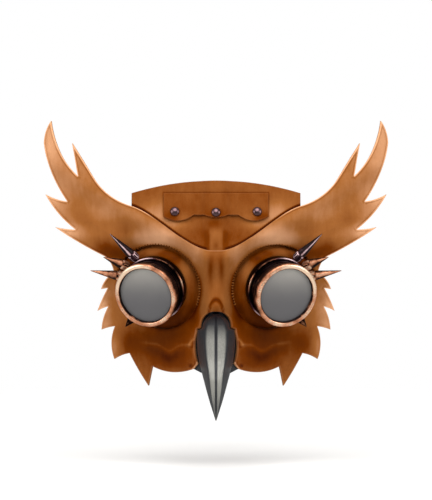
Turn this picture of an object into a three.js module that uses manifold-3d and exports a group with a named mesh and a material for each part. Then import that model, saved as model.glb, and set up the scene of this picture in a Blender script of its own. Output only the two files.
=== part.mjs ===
// Owl mask of moulded leather: a face shell with ear tufts and feather teeth, a forehead panel with a
// riveted crown tab, sewn-in eye sockets that carry spiked goggles, and a hooked metal beak.
// Millimetres, +Z up. The wearer looks along -Y, and X = 0 is the plane of symmetry.
// The origin is the inside of the leather at the bridge of the nose, level with the eyes.

import * as THREE from 'three';
import { ConvexHull } from 'three/addons/math/ConvexHull.js';
import { mergeVertices } from 'three/addons/utils/BufferGeometryUtils.js';
import Module from 'manifold-3d';

const wasm = await Module();
wasm.setup();

const { clamp, degToRad, lerp, smoothstep } = THREE.MathUtils;

// Walls and gaps

const LEATHER = 2.6; // wall of the moulded face
const THIN_LEATHER = 2.2; // wall of the panel, tab, sockets and strap
const LAYER_GAP = 0.8; // between two sewn or riveted layers
const FIT = 0.3; // between two metal pieces

// Cut line of the face

// Upper edge of the brows: height at the level middle, and its rise from there to the temples.
const BROW = { middle: 33.2, rise: 40.8, level: 3, reach: 84 };

// Corners of one half from the brow's end round the ear, the feathers and the lobe to the beak.
// The bow is how far the stretch to the next corner swells outward.
const CUT_LINE = [
  { corner: 'brow end', x: 75.8, z: 72.8, bow: -3.2 },
  { corner: 'ear root', x: 107.2, z: 95.0, bow: 0 },
  { corner: 'inner ear tip', x: 129.8, z: 129.5, bow: 0 },
  { corner: 'ear notch', x: 123.9, z: 99.7, bow: -5 },
  { corner: 'outer ear tip', x: 149.5, z: 150.3, bow: 1.6 },
  { corner: 'ear shoulder', x: 156.0, z: 130.5, bow: 3.5 },
  { corner: 'ear foot', x: 133.9, z: 77.0, bow: -1 },
  { corner: 'upper feather', x: 154.3, z: 83.7, bow: 2.2 },
  { corner: 'upper notch', x: 126.3, z: 51.7, bow: -0.5 },
  { corner: 'temple feather', x: 144.9, z: 53.9, bow: 1 },
  { corner: 'temple', x: 99.5, z: 27.5, bow: -1.9 },
  { corner: 'waist', x: 91.5, z: 12.8, bow: 1.9 },
  { corner: 'first tooth', x: 103.2, z: -1.9, bow: 0 },
  { corner: 'first notch', x: 97.2, z: -0.9, bow: 0.5 },
  { corner: 'second tooth', x: 106.8, z: -21.5, bow: -0.4 },
  { corner: 'second notch', x: 97.0, z: -17.4, bow: 1.3 },
  { corner: 'third tooth', x: 103.2, z: -38.4, bow: -0.4 },
  { corner: 'third notch', x: 91.2, z: -35.2, bow: 2.8 },
  { corner: 'fourth tooth', x: 91.7, z: -64.8, bow: -0.8 },
  { corner: 'fourth notch', x: 77.8, z: -59.1, bow: 0.5 },
  { corner: 'lower tuft', x: 60.6, z: -88.3, bow: 0 },
  { corner: 'tuft notch', x: 56.9, z: -70.5, bow: 4.2 },
  { corner: 'lobe corner', x: 20.6, z: -71.9, bow: 0 },
  { corner: 'lobe inside', x: 16.4, z: -66.8, bow: -1.6 },
  { corner: 'beak side', x: 18.6, z: -42.8, bow: 0.2 },
  { corner: 'beak step', x: 17.5, z: -36.0, bow: 0 },
  { corner: 'beak shoulder', x: 13.8, z: -34.5, bow: -3.2 },
  { corner: 'beak top', x: 4.4, z: -21.4, bow: -0.2 },
];
const BEAK_TOP_Z = -21.1;
const CUT_STEP = 4.2; // longest side of the faceted cut line
const FACE_CELL = 6.2; // triangles inside the face

// Eye openings: a round seam drawn in on the side that the goggle hides.
const EYE = { x: 54, z: -1.5, radius: 39.2, drawnIn: 9, towards: degToRad(-40), spread: 0.9 };
const EYE_SIDES = 36;

// Relief of the face

// Sideways bend of the hide at two heights. Past the straight line it runs on flat.
const CHEEK_BEND = { z: -20, radius: 118, straight: 80 };
const BROW_BEND = { z: 45, radius: 165, straight: 95 };
// Slopes: the face leans forward towards the brows, the ears lean back and the side teeth stand forward.
const LEAN = { slope: 0.2, low: -40, high: 45 };
const EAR_LEAN = { slope: 0.12, from: 60 };
const TOOTH_FLARE = { slope: 0.3, from: 92, full: 5, none: 25 };
const CHIN = { curve: 0.0025, from: -20 };
// Rolls and ridges, each with its rise, its half width and the heights where it fades in and out.
const BROW_ROLL = { rise: 5, wide: 12, middle: 22, slope: 0.6 };
const BRIDGE = { rise: 6, wide: 12, low: -34, lowFull: -12, highFull: 26, high: 46 };
const NOSE = { rise: 8, wide: 18, top: 10, full: -21 };
const MUZZLE = { rise: 12, wide: 34, top: -15, full: -50 };
const BEAK_COLLAR = { rise: 7, x: 14, wide: 11, top: -22, full: -44 };
// Mounds and hollows on both halves.
const MOUNDS = [
  { fold: 'nose furrow', x: 6.8, z: 20, wide: 3, tall: 13, rise: -1 },
  { fold: 'cere', x: 0, z: -17, wide: 7.5, tall: 6, rise: 2.6 },
  { fold: 'cheek hollow', x: 55, z: -44, wide: 22, tall: 12, rise: -4 },
  { fold: 'lower lobe', x: 36, z: -64, wide: 17, tall: 12, rise: 4.5 },
];
const SEAM_VALLEY = { depth: 3, wide: 9 };

// Goggles

const TILT = degToRad(28); // of the goggle's axis from straight ahead
const TILT_SIDE = 0.78; // share of the tilt that goes outward, the rest goes down
const GOGGLE = { x: 54.6, y: 10.5, z: -0.7 }; // middle of the thin rim between base and barrel
const CUP = { base: 28.2, baseDepth: 7, rim: 28.9, rimDepth: 1.8, barrel: 26.4, bore: 23.4, front: 16 };
const CUP_TAIL = { radius: 25.4, depth: 6 }; // sleeve through the socket
const LENS = { radius: 26.2, thickness: 2, bevel: 0.6 };
const BEZEL = { outer: 29, opening: 24.3, back: 12.5, front: 21.5, chamfer: 1 };
const GOGGLE_SIDES = 32;

// Spikes stand on the cup's base. The bearing is measured round the cup from its outermost lowest point.
const SPIKES = [
  { name: 'upper', bearing: degToRad(95), splay: degToRad(23), cone: 26.4 },
  { name: 'mid', bearing: degToRad(74), splay: degToRad(33), cone: 17 },
  { name: 'lower', bearing: degToRad(54), splay: degToRad(21), cone: 22.9 },
  { name: 'stub', bearing: degToRad(-13), splay: degToRad(24), cone: 9.5 },
];
const SPIKE = { foot: 2.8, collar: 4.3, waist: 3.3, cone: 4.3, tip: 0.3 }; // radii
const SPIKE_ALONG = { collar: 2, collarEnd: 7, waist: 7.5, cone: 9 }; // where each begins, from the foot
const SPIKE_LEVEL = -3.6; // along the goggle's axis, from its thin rim
const SPIKE_SIDES = 10;

// Sockets

const SOCKET = { lap: 4.5, seam: 1, shoulder: 0.8, bore: 25.9, dome: 1.2, across: 2 };

// Beak

// Rows from the top of the beak to its tip: half width, half width of the bright front, ridge and back.
// Where no back is given, the section runs into the flange behind the leather.
const BEAK_SECTIONS = [
  { z: -22.9, half: 3.6, front: 2.2, ridge: -11 },
  { z: -26.4, half: 8.4, front: 5.2, ridge: -16 },
  { z: -30.5, half: 11.4, front: 7.6, ridge: -20.5 },
  { z: -35.4, half: 12.7, front: 9.2, ridge: -25.5 },
  { z: -37.2, half: 16.6, front: 9.6, ridge: -27.2 },
  { z: -45.8, half: 17.3, front: 9.7, ridge: -34.5 },
  { z: -54.6, half: 16.8, front: 9.2, ridge: -40.3 },
  { z: -63.4, half: 15.6, front: 8.2, ridge: -44.6 },
  { z: -72.2, half: 13.5, front: 7.0, ridge: -47.4 },
  { z: -81.0, half: 11.0, front: 5.8, ridge: -48.4, back: -12 },
  { z: -89.8, half: 8.4, front: 4.6, ridge: -48, back: -24.5 },
  { z: -98.6, half: 5.7, front: 3.2, ridge: -46, back: -32.5 },
  { z: -107.4, half: 2.7, front: 1.6, ridge: -43, back: -38 },
  { z: -114.2, half: 0.5, front: 0.3, ridge: -40, back: -39 },
];
const BEAK = { wall: 2.4, widest: 0.4 }; // the widest line as a share of the depth, from the back
const BEAK_FALL = { most: 3.6, share: 0.35 }; // of the bright front's edge behind the ridge
const BEAK_TUCK = { most: 1.6, share: 0.15 }; // of the back edge
const BEAK_GROOVE = { half: 0.9, depth: 0.7, fade: 2 }; // full where the front is wider than the fade
const FRONT_WALL = 0.6; // share of the wall taken from the hollow's front
const NOSE_HOLLOW = { top: -30, bottom: -72, open: 30 }; // hollow of the beak, open to the back
const FLANGE = { wall: 2, step: 5 };
const FLANGE_LINE = [
  { x: 7, z: -18.5 },
  { x: 11, z: -23 },
  { x: 17.5, z: -31 },
  { x: 23, z: -40 },
  { x: 24, z: -60 },
  { x: 20.6, z: -71.6 },
  { x: 12.6, z: -75.4 },
];

// Forehead panel, crown tab and rivets

const PANEL = { half: 75, under: 7, sideTop: 84, top: 95, lean: 0.28, fadeIn: 14, cell: 7.5 };
const PANEL_RIDGE = { rise: 2.4, wide: 7 };
const PANEL_HOLLOW = { depth: 1.4, x: 15, wide: 7 }; // on both sides of the ridge
const TAB = { half: 46.4, top: 84, cell: 6, steps: 14 };
const TAB_LOBE = { x: 34, z: 59.2, half: 12, sweep: 3.6 }; // lobe round each outer rivet
const TAB_MIDDLE = { z: 62.4, half: 12, sweep: 2.4, crest: 64.4 }; // scallop round the middle rivet
const RIVETS = [
  { name: 'left', x: 36.3, z: 67.2 },
  { name: 'centre', x: 0, z: 66.5 },
  { name: 'right', x: -36.3, z: 67.2 },
];
const RIVET = { head: 4.2, rise: 2.7, shank: 1.5, hole: 2.0, tail: 3.1, tailDepth: 1.1 };
const RIVET_SIDES = 10;
const RIVET_DOME_STEPS = 3;

// Head strap: the middle of the band on one side, from behind the panel to the back of the head.
const STRAP = { width: 21, steps: 32, leaves: 54 }; // depth where it has left the panel
const STRAP_ROUTE = [
  { x: 44, y: 8, z: 71 },
  { x: 58, y: 16, z: 70 },
  { x: 74, y: 52, z: 61 },
  { x: 79, y: 95, z: 53 },
  { x: 60, y: 158, z: 45 },
  { x: 0, y: 190, z: 42 },
];

// Materials

function finish(color, roughness, metalness) {
  return new THREE.MeshStandardMaterial({ color, roughness, metalness });
}

const tanLeather = finish(0x9b6131, 0.55, 0);
const darkLeather = finish(0x6b3c18, 0.6, 0);
const copper = finish(0xb06a52, 0.3, 1);
const blackened = finish(0x1c1214, 0.4, 1);
const gunmetal = finish(0x6a6c68, 0.38, 1);
const greyGlass = finish(0x747474, 0.18, 0);
const rivetMetal = finish(0x5c4a52, 0.35, 1);

// Surface of the face

function bell(u) {
  return Math.exp(-u * u);
}

function browEdge(x) {
  return BROW.middle + BROW.rise * smoothstep(Math.abs(x), BROW.level, BROW.reach);
}

function eyeDrawnIn(angle) {
  return Math.max(0, Math.cos(EYE.spread * (angle - EYE.towards))) ** 2;
}

function eyeRadius(angle) {
  return EYE.radius - EYE.drawnIn * eyeDrawnIn(angle);
}

// Angle round the eye, from -220 to 140 degrees so that the drawn-in side has no break.
function eyeAngle(dx, dz) {
  const angle = Math.atan2(dz, dx);
  return angle > EYE.towards + Math.PI ? angle - 2 * Math.PI : angle;
}

// The leather dips towards the seam on the sides that show.
function seamValley(ax, z) {
  const angle = eyeAngle(ax - EYE.x, z - EYE.z);
  const outside = Math.max(0, Math.hypot(ax - EYE.x, z - EYE.z) - eyeRadius(angle));
  return SEAM_VALLEY.depth * bell(outside / SEAM_VALLEY.wide) * (1 - eyeDrawnIn(angle));
}

// Depth of the leather's front, where a larger value lies further back.
function mouldedDepth(x, z) {
  const ax = Math.abs(x);
  const high = smoothstep(z, CHEEK_BEND.z, BROW_BEND.z);
  const radius = lerp(CHEEK_BEND.radius, BROW_BEND.radius, high);
  const straight = lerp(CHEEK_BEND.straight, BROW_BEND.straight, high);
  const bent = Math.min(ax, straight);
  let y = (bent * bent) / (2 * radius) + ((ax - bent) * straight) / radius;
  const toothShare = 1 - smoothstep(z, TOOTH_FLARE.full, TOOTH_FLARE.none);
  y -= TOOTH_FLARE.slope * Math.max(0, ax - TOOTH_FLARE.from) * toothShare;
  y -= LEAN.slope * clamp(z, LEAN.low, LEAN.high);
  y += EAR_LEAN.slope * Math.max(0, z - EAR_LEAN.from);
  y += CHIN.curve * Math.min(0, z - CHIN.from) ** 2;
  y -= BROW_ROLL.rise * bell((z - BROW_ROLL.middle - BROW_ROLL.slope * ax) / BROW_ROLL.wide);
  const bridgeFoot = smoothstep(z, BRIDGE.low, BRIDGE.lowFull);
  const bridgeHead = 1 - smoothstep(z, BRIDGE.highFull, BRIDGE.high);
  y -= BRIDGE.rise * Math.exp(-((ax / BRIDGE.wide) ** 4)) * bridgeFoot * bridgeHead;
  y -= NOSE.rise * bell(ax / NOSE.wide) * smoothstep(-z, -NOSE.top, -NOSE.full);
  y -= MUZZLE.rise * bell(ax / MUZZLE.wide) * smoothstep(-z, -MUZZLE.top, -MUZZLE.full);
  const collarShare = smoothstep(-z, -BEAK_COLLAR.top, -BEAK_COLLAR.full);
  y -= BEAK_COLLAR.rise * bell((ax - BEAK_COLLAR.x) / BEAK_COLLAR.wide) * collarShare;
  for (const mound of MOUNDS) {
    y -= mound.rise * bell(Math.hypot((ax - mound.x) / mound.wide, (z - mound.z) / mound.tall));
  }
  return y + seamValley(ax, z);
}

const DEPTH_AT_ORIGIN = mouldedDepth(0, 0);

function faceFront(x, z) {
  return mouldedDepth(x, z) - DEPTH_AT_ORIGIN - LEATHER;
}

const SLOPE_REACH = 0.4; // half the distance over which a slope is measured

// Unit normal of a sheet y = front(x, z), on the side that faces back.
function backNormal(front, x, z) {
  const reach = SLOPE_REACH;
  const slopeX = (front(x + reach, z) - front(x - reach, z)) / (2 * reach);
  const slopeZ = (front(x, z + reach) - front(x, z - reach)) / (2 * reach);
  return new THREE.Vector3(-slopeX, 1, -slopeZ).normalize();
}

// Depth of the surface that lies a given distance behind a sheet, measured square to it.
function behind(front, distance) {
  return (x, z) => front(x, z) + distance / backNormal(front, x, z).y;
}

const behindFace = behind(faceFront, LEATHER + LAYER_GAP);

// Flat patterns

function pointOf({ x, z }) {
  return new THREE.Vector2(x, z);
}

// Points from one corner up to, but not including, the next along a stretch that bows to its left.
function stretch(from, to, bow, step) {
  const chord = to.clone().sub(from);
  const left = new THREE.Vector2(-chord.y, chord.x).normalize();
  const count = Math.max(1, Math.ceil(chord.length() / step));
  return Array.from({ length: count }, (unused, i) => {
    const t = i / count;
    return from.clone().addScaledVector(chord, t).addScaledVector(left, 4 * bow * t * (1 - t));
  });
}

// A half outline that starts and ends on X = 0, closed by its mirror image.
function mirrored(half) {
  const inner = half.slice(1, -1).reverse();
  return [...half, ...inner.map((p) => new THREE.Vector2(-p.x, p.y))];
}

function ring(x, z, radius, sides) {
  return Array.from({ length: sides }, (unused, i) => {
    const angle = (2 * Math.PI * i) / sides;
    return new THREE.Vector2(x + radius * Math.cos(angle), z + radius * Math.sin(angle));
  });
}

function contains(loop, p) {
  let inside = false;
  for (let i = 0, j = loop.length - 1; i < loop.length; j = i++) {
    const a = loop[i];
    const b = loop[j];
    const across = a.y > p.y !== b.y > p.y;
    if (across && p.x < ((b.x - a.x) * (p.y - a.y)) / (b.y - a.y) + a.x) inside = !inside;
  }
  return inside;
}

const UPRIGHT = 1e-5; // hull faces steeper than this are its sides, not triangles of the pattern

// Delaunay triangles: the lower hull of the points raised onto a paraboloid.
function delaunay(points) {
  const raised = points.map((p) => new THREE.Vector3(p.x, p.y, p.lengthSq()));
  const order = new Map(raised.map((p, i) => [p, i]));
  const hull = new ConvexHull().setFromPoints(raised);
  const lower = hull.faces.filter((face) => face.normal.z < -UPRIGHT);
  return lower.map((face) => [2, 1, 0].map((i) => order.get(face.getEdge(i).head().point)));
}

function edgesOf(triangles) {
  const edges = new Set();
  for (const [a, b, c] of triangles) {
    edges.add(`${a} ${b}`).add(`${b} ${c}`).add(`${c} ${a}`);
  }
  return edges;
}

const RIM_CLEAR = 0.62; // share of a cell kept free of inner points along the rim

// Triangulates a pattern piece from its outline and holes, with evenly spread points between them.
// A side of the rim that the triangles miss is halved and the piece is tried again.
function pattern(outline, holes, cell) {
  let loops = [outline, ...holes];
  const rim = loops.flat();
  const box = new THREE.Box2().setFromPoints(outline);
  const rise = (cell * Math.sqrt(3)) / 2;
  const inner = [];
  for (let row = Math.ceil(box.min.y / rise); row * rise < box.max.y; row++) {
    const shift = row % 2 === 0 ? 0 : 0.5;
    for (let i = Math.floor(box.min.x / cell); i * cell < box.max.x; i++) {
      const p = new THREE.Vector2((i + shift) * cell, row * rise);
      const onPiece = contains(outline, p) && !holes.some((hole) => contains(hole, p));
      if (onPiece && rim.every((q) => q.distanceTo(p) > RIM_CLEAR * cell)) inner.push(p);
    }
  }
  for (;;) {
    const points = [...loops.flat(), ...inner];
    const triangles = delaunay(points);
    const edges = edgesOf(triangles);
    let start = 0;
    let whole = true;
    loops = loops.map((loop) => {
      const split = loop.flatMap((p, i) => {
        const a = start + i;
        const b = start + ((i + 1) % loop.length);
        if (edges.has(`${a} ${b}`) || edges.has(`${b} ${a}`)) return [p];
        whole = false;
        return [p, p.clone().lerp(points[b], 0.5)];
      });
      start += loop.length;
      return split;
    });
    if (whole) {
      const kept = triangles.filter(([a, b, c]) => {
        const middle = points[a].clone().add(points[b]).add(points[c]).divideScalar(3);
        return contains(outline, middle) && !holes.some((hole) => contains(hole, middle));
      });
      return { points, triangles: kept };
    }
  }
}

// Solids

function meshData(positions, triangles) {
  const geometry = new THREE.BufferGeometry();
  geometry.setAttribute('position', new THREE.Float32BufferAttribute(positions, 3));
  geometry.setIndex(triangles.flat());
  geometry.computeVertexNormals();
  return geometry;
}

// A pattern piece moulded to y = front(x, z), with a wall behind it.
function moulded({ points, triangles }, front, wall) {
  const count = points.length;
  const positions = [0, wall].flatMap((depth) =>
    points.flatMap((p) => {
      const surface = new THREE.Vector3(p.x, front(p.x, p.y), p.y);
      return surface.addScaledVector(backNormal(front, p.x, p.y), depth).toArray();
    }),
  );
  const faces = triangles.flatMap(([a, b, c]) => [
    [a, b, c],
    [c + count, b + count, a + count],
  ]);
  const edges = edgesOf(triangles);
  for (const edge of edges) {
    const [a, b] = edge.split(' ').map(Number);
    if (!edges.has(`${b} ${a}`)) faces.push([b, a, a + count], [b, a + count, b + count]);
  }
  return meshData(positions, faces);
}

// A wall behind a grid of front points. Seen from the front, a row runs right and the next lies below it.
function walled(rows, wall, around) {
  const length = rows[0].length;
  const last = rows.length - 1;
  const at = (k, i) => rows[clamp(k, 0, last)][around ? (i + length) % length : clamp(i, 0, length - 1)];
  const positions = [];
  for (const depth of [0, wall]) {
    rows.forEach((row, k) => {
      row.forEach((p, i) => {
        const along = at(k, i + 1).clone().sub(at(k, i - 1));
        const over = at(k + 1, i).clone().sub(at(k - 1, i));
        const back = along.cross(over).normalize();
        positions.push(...p.clone().addScaledVector(back, depth).toArray());
      });
    });
  }
  const count = rows.length * length;
  const index = (k, i) => k * length + (i % length);
  const columns = around ? length : length - 1;
  const faces = [];
  const quad = (a, b, c, d) => faces.push([a, b, c], [a, c, d]);
  for (let i = 0; i < columns; i++) {
    for (let k = 0; k < last; k++) {
      const corners = [index(k, i), index(k + 1, i), index(k + 1, i + 1), index(k, i + 1)];
      quad(...corners);
      quad(...corners.reverse().map((corner) => corner + count));
    }
    quad(index(0, i), index(0, i + 1), index(0, i + 1) + count, index(0, i) + count);
    quad(index(last, i + 1), index(last, i), index(last, i) + count, index(last, i + 1) + count);
  }
  if (!around) {
    for (let k = 0; k < last; k++) {
      const end = length - 1;
      quad(index(k + 1, 0), index(k, 0), index(k, 0) + count, index(k + 1, 0) + count);
      quad(index(k, end), index(k + 1, end), index(k + 1, end) + count, index(k, end) + count);
    }
  }
  return meshData(positions, faces);
}

// A solid through level sections, from the highest to the lowest.
function lofted(sections) {
  const length = sections[0].length;
  const positions = sections.flatMap((section) => section.flatMap((p) => p.toArray()));
  const faces = [];
  for (let k = 0; k + 1 < sections.length; k++) {
    for (let i = 0; i < length; i++) {
      const next = (i + 1) % length;
      const a = k * length + i;
      const b = k * length + next;
      faces.push([a, a + length, b + length], [a, b + length, b]);
    }
  }
  const flat = (section) => section.map((p) => new THREE.Vector2(p.x, p.y));
  const lid = (section) => THREE.ShapeUtils.triangulateShape(flat(section), []);
  const foot = (sections.length - 1) * length;
  faces.push(...lid(sections[0]));
  faces.push(...lid(sections.at(-1)).map(([a, b, c]) => [foot + c, foot + b, foot + a]));
  return meshData(positions, faces);
}

function turned(profile, sides) {
  return new THREE.LatheGeometry(profile.map(([radius, along]) => new THREE.Vector2(radius, along)), sides);
}

function solid(geometry) {
  const bare = geometry.clone();
  bare.deleteAttribute('normal');
  bare.deleteAttribute('uv');
  const merged = mergeVertices(bare);
  return new wasm.Manifold(
    new wasm.Mesh({
      numProp: 3,
      vertProperties: Float32Array.from(merged.attributes.position.array),
      triVerts: Uint32Array.from(merged.index.array),
    }),
  );
}

function geometryOf(body) {
  const { vertProperties, triVerts } = body.getMesh();
  const geometry = new THREE.BufferGeometry();
  geometry.setAttribute('position', new THREE.BufferAttribute(vertProperties, 3));
  geometry.setIndex(new THREE.BufferAttribute(triVerts, 1));
  geometry.computeVertexNormals();
  return geometry;
}

function piece(name, geometry, material) {
  const mesh = new THREE.Mesh(geometry, material);
  mesh.name = name;
  return mesh;
}

// Face shell

function browLine(step) {
  const end = CUT_LINE[0].x;
  const count = Math.ceil(end / step);
  return Array.from({ length: count }, (unused, i) => {
    const x = (end * i) / count;
    return new THREE.Vector2(x, browEdge(x));
  });
}

function faceOutline() {
  const half = browLine(CUT_STEP);
  CUT_LINE.forEach((row, i) => {
    const next = CUT_LINE[i + 1] ?? { x: 0, z: BEAK_TOP_Z };
    half.push(...stretch(pointOf(row), pointOf(next), row.bow, CUT_STEP));
  });
  half.push(new THREE.Vector2(0, BEAK_TOP_Z));
  return mirrored(half);
}

function eyeOpening(side, larger) {
  return Array.from({ length: EYE_SIDES }, (unused, i) => {
    const angle = EYE.towards + Math.PI - (2 * Math.PI * i) / EYE_SIDES;
    const radius = eyeRadius(angle) + larger;
    const x = EYE.x + radius * Math.cos(angle);
    return new THREE.Vector2(side * x, EYE.z + radius * Math.sin(angle));
  });
}

function faceShell() {
  const openings = [eyeOpening(1, 0), eyeOpening(-1, 0)];
  return moulded(pattern(faceOutline(), openings, FACE_CELL), faceFront, LEATHER);
}

// Forehead panel and crown tab

// Below the brow edge the panel follows the back of the leather, above it the panel leans back.
function panelFront(x, z) {
  const edge = browEdge(x);
  const above = Math.max(0, z - edge);
  const hollow = PANEL_HOLLOW.depth * bell((Math.abs(x) - PANEL_HOLLOW.x) / PANEL_HOLLOW.wide);
  const ridge = PANEL_RIDGE.rise * bell(x / PANEL_RIDGE.wide);
  const relief = (hollow - ridge) * smoothstep(above, 0, PANEL.fadeIn);
  return behindFace(x, Math.min(z, edge)) + PANEL.lean * above + relief;
}

function panelOutline() {
  const count = Math.ceil(PANEL.half / PANEL.cell);
  const lower = Array.from({ length: count + 1 }, (unused, i) => {
    const x = (PANEL.half * i) / count;
    return new THREE.Vector2(x, browEdge(x) - PANEL.under);
  });
  const upper = lower.map(({ x }) => {
    const share = x / PANEL.half;
    return new THREE.Vector2(x, lerp(PANEL.top, PANEL.sideTop, share * share));
  });
  return mirrored([...lower, ...upper.reverse()]);
}

const tabFront = behind(panelFront, -(THIN_LEATHER + LAYER_GAP));

// Holes where the rivets' shanks pass, at a depth behind the tab's front.
function rivetHoles(depth) {
  return RIVETS.map(({ x, z }) => {
    const slant = backNormal(tabFront, x, z).multiplyScalar(depth);
    return ring(x + slant.x, z + slant.z, RIVET.hole, RIVET_SIDES);
  });
}

function foreheadPanel() {
  const holes = rivetHoles(THIN_LEATHER + LAYER_GAP);
  return moulded(pattern(panelOutline(), holes, PANEL.cell), panelFront, THIN_LEATHER);
}

// Lower edge of the tab: a lobe round each outer rivet and a scallop round the middle one.
function tabLowerEdge(x) {
  const ax = Math.abs(x);
  const lobe = ((ax - TAB_LOBE.x) / TAB_LOBE.half) ** 2;
  const scallop = (ax / TAB_MIDDLE.half) ** 2;
  const lobeEdge = TAB_LOBE.z + TAB_LOBE.sweep * lobe;
  const middleEdge = TAB_MIDDLE.z + TAB_MIDDLE.sweep * scallop;
  return Math.min(lobeEdge, middleEdge, TAB_MIDDLE.crest);
}

function tabOutline() {
  const lower = Array.from({ length: TAB.steps + 1 }, (unused, i) => {
    const x = (TAB.half * i) / TAB.steps;
    return new THREE.Vector2(x, tabLowerEdge(x));
  });
  const upper = [...lower].reverse().filter((unused, i) => i % 2 === 0);
  return mirrored([...lower, ...upper.map(({ x }) => new THREE.Vector2(x, TAB.top))]);
}

function crownTab() {
  return moulded(pattern(tabOutline(), rivetHoles(0), TAB.cell), tabFront, THIN_LEATHER);
}

function rivet() {
  const { head, rise, shank, tail, tailDepth } = RIVET;
  const stack = 2 * THIN_LEATHER + LAYER_GAP + 2 * FIT;
  const dome = Array.from({ length: RIVET_DOME_STEPS }, (unused, i) => {
    const angle = (Math.PI * i) / (2 * RIVET_DOME_STEPS);
    return [head * Math.cos(angle), FIT + rise * Math.sin(angle)];
  });
  return turned(
    [
      [0, -stack - tailDepth],
      [tail, -stack - tailDepth],
      [tail, -stack],
      [shank, -stack],
      [shank, FIT],
      ...dome,
      [0, FIT + rise],
    ],
    RIVET_SIDES,
  );
}

// Goggles

const FORWARD = new THREE.Vector3(0, 1, 0); // a goggle's axis in its own group
const TILT_DOWN = -Math.sqrt(1 - TILT_SIDE ** 2);

function goggleAxis(side) {
  const lean = Math.sin(TILT);
  return new THREE.Vector3(side * lean * TILT_SIDE, -Math.cos(TILT), lean * TILT_DOWN);
}

// In-plane directions of the goggle: outermost and lowest, and a quarter turn up from it.
function goggleSpan(side) {
  const level = Math.cos(TILT);
  const outermost = new THREE.Vector3(side * level * TILT_SIDE, Math.sin(TILT), level * TILT_DOWN);
  const quarter = new THREE.Vector3(-side * TILT_DOWN, 0, TILT_SIDE);
  return { outermost, quarter };
}

function goggleMiddle(side) {
  return new THREE.Vector3(side * GOGGLE.x, GOGGLE.y, GOGGLE.z);
}

function goggleCup() {
  const tail = -CUP.baseDepth - CUP_TAIL.depth;
  return turned(
    [
      [CUP.bore, tail],
      [CUP_TAIL.radius, tail],
      [CUP_TAIL.radius, -CUP.baseDepth],
      [CUP.base, -CUP.baseDepth],
      [CUP.base, 0],
      [CUP.rim, 0],
      [CUP.rim, CUP.rimDepth],
      [CUP.barrel, CUP.rimDepth],
      [CUP.barrel, CUP.front],
      [CUP.bore, CUP.front],
      [CUP.bore, tail],
    ],
    GOGGLE_SIDES,
  );
}

function goggleLens() {
  const back = CUP.front + FIT;
  const front = back + LENS.thickness;
  const edge = front - LENS.bevel;
  return turned(
    [
      [0, back],
      [LENS.radius, back],
      [LENS.radius, edge],
      [LENS.radius - LENS.bevel, front],
      [0, front],
    ],
    GOGGLE_SIDES,
  );
}

function goggleBezel() {
  const sleeve = CUP.barrel + FIT;
  const lip = CUP.front + LENS.thickness + 2 * FIT;
  return turned(
    [
      [sleeve, BEZEL.back],
      [BEZEL.outer, BEZEL.back],
      [BEZEL.outer, BEZEL.front - BEZEL.chamfer],
      [BEZEL.outer - BEZEL.chamfer, BEZEL.front],
      [BEZEL.opening + BEZEL.chamfer, BEZEL.front],
      [BEZEL.opening, BEZEL.front - BEZEL.chamfer],
      [BEZEL.opening, lip],
      [sleeve, lip],
      [sleeve, BEZEL.back],
    ],
    GOGGLE_SIDES,
  );
}

function spike(coneLength) {
  const tip = SPIKE_ALONG.cone + coneLength;
  return turned(
    [
      [0, 0],
      [SPIKE.foot, 0],
      [SPIKE.collar, SPIKE_ALONG.collar],
      [SPIKE.collar, SPIKE_ALONG.collarEnd],
      [SPIKE.waist, SPIKE_ALONG.waist],
      [SPIKE.cone, SPIKE_ALONG.cone],
      [SPIKE.tip, tip - SPIKE.tip],
      [0, tip],
    ],
    SPIKE_SIDES,
  );
}

function addGoggle(group, side, hand) {
  const axis = goggleAxis(side);
  const { outermost, quarter } = goggleSpan(side);
  const goggle = new THREE.Group();
  goggle.position.copy(goggleMiddle(side));
  goggle.quaternion.setFromUnitVectors(FORWARD, axis);
  goggle.add(piece(`goggle_cup_${hand}`, goggleCup(), blackened));
  goggle.add(piece(`goggle_bezel_${hand}`, goggleBezel(), copper));
  goggle.add(piece(`goggle_lens_${hand}`, goggleLens(), greyGlass));
  const toGoggle = goggle.quaternion.clone().invert();
  for (const { name, bearing, splay, cone } of SPIKES) {
    const radial = outermost.clone().multiplyScalar(Math.cos(bearing));
    radial.addScaledVector(quarter, Math.sin(bearing)).applyQuaternion(toGoggle);
    const mesh = piece(`spike_${name}_${hand}`, spike(cone), copper);
    const seat = CUP.base + FIT + SPIKE.foot * Math.sin(splay);
    mesh.position.copy(radial).multiplyScalar(seat).addScaledVector(FORWARD, SPIKE_LEVEL);
    const direction = radial.clone().multiplyScalar(Math.cos(splay));
    direction.addScaledVector(FORWARD, Math.sin(splay));
    mesh.quaternion.setFromUnitVectors(FORWARD, direction);
    goggle.add(mesh);
  }
  group.add(goggle);
}

// Sockets

// Rings of front points from the lap behind the face, over a low dome, to the bore round the cup.
function socket(side) {
  const axis = goggleAxis(1);
  const seat = goggleMiddle(1).addScaledVector(axis, -CUP.baseDepth - FIT);
  const onFace = (p) => new THREE.Vector3(p.x, behindFace(p.x, p.y), p.y);
  const lap = eyeOpening(1, SOCKET.lap).map(onFace);
  const seam = eyeOpening(1, -SOCKET.seam).map(onFace);
  const underCup = (radius) =>
    seam.map((p) => p.clone().sub(seat).projectOnPlane(axis).setLength(radius).add(seat));
  const shoulder = underCup(CUP.base + SOCKET.shoulder);
  const rows = [lap];
  for (let k = 0; k <= SOCKET.across; k++) {
    const t = k / SOCKET.across;
    const rise = SOCKET.dome * Math.sin(Math.PI * t);
    rows.push(seam.map((p, i) => p.clone().lerp(shoulder[i], t).addScaledVector(axis, rise)));
  }
  rows.push(underCup(SOCKET.bore));
  const flipped = rows.map((row) => row.map((p) => new THREE.Vector3(-p.x, p.y, p.z)).reverse());
  return walled(side > 0 ? rows : flipped, THIN_LEATHER, true);
}

// Beak

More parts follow.
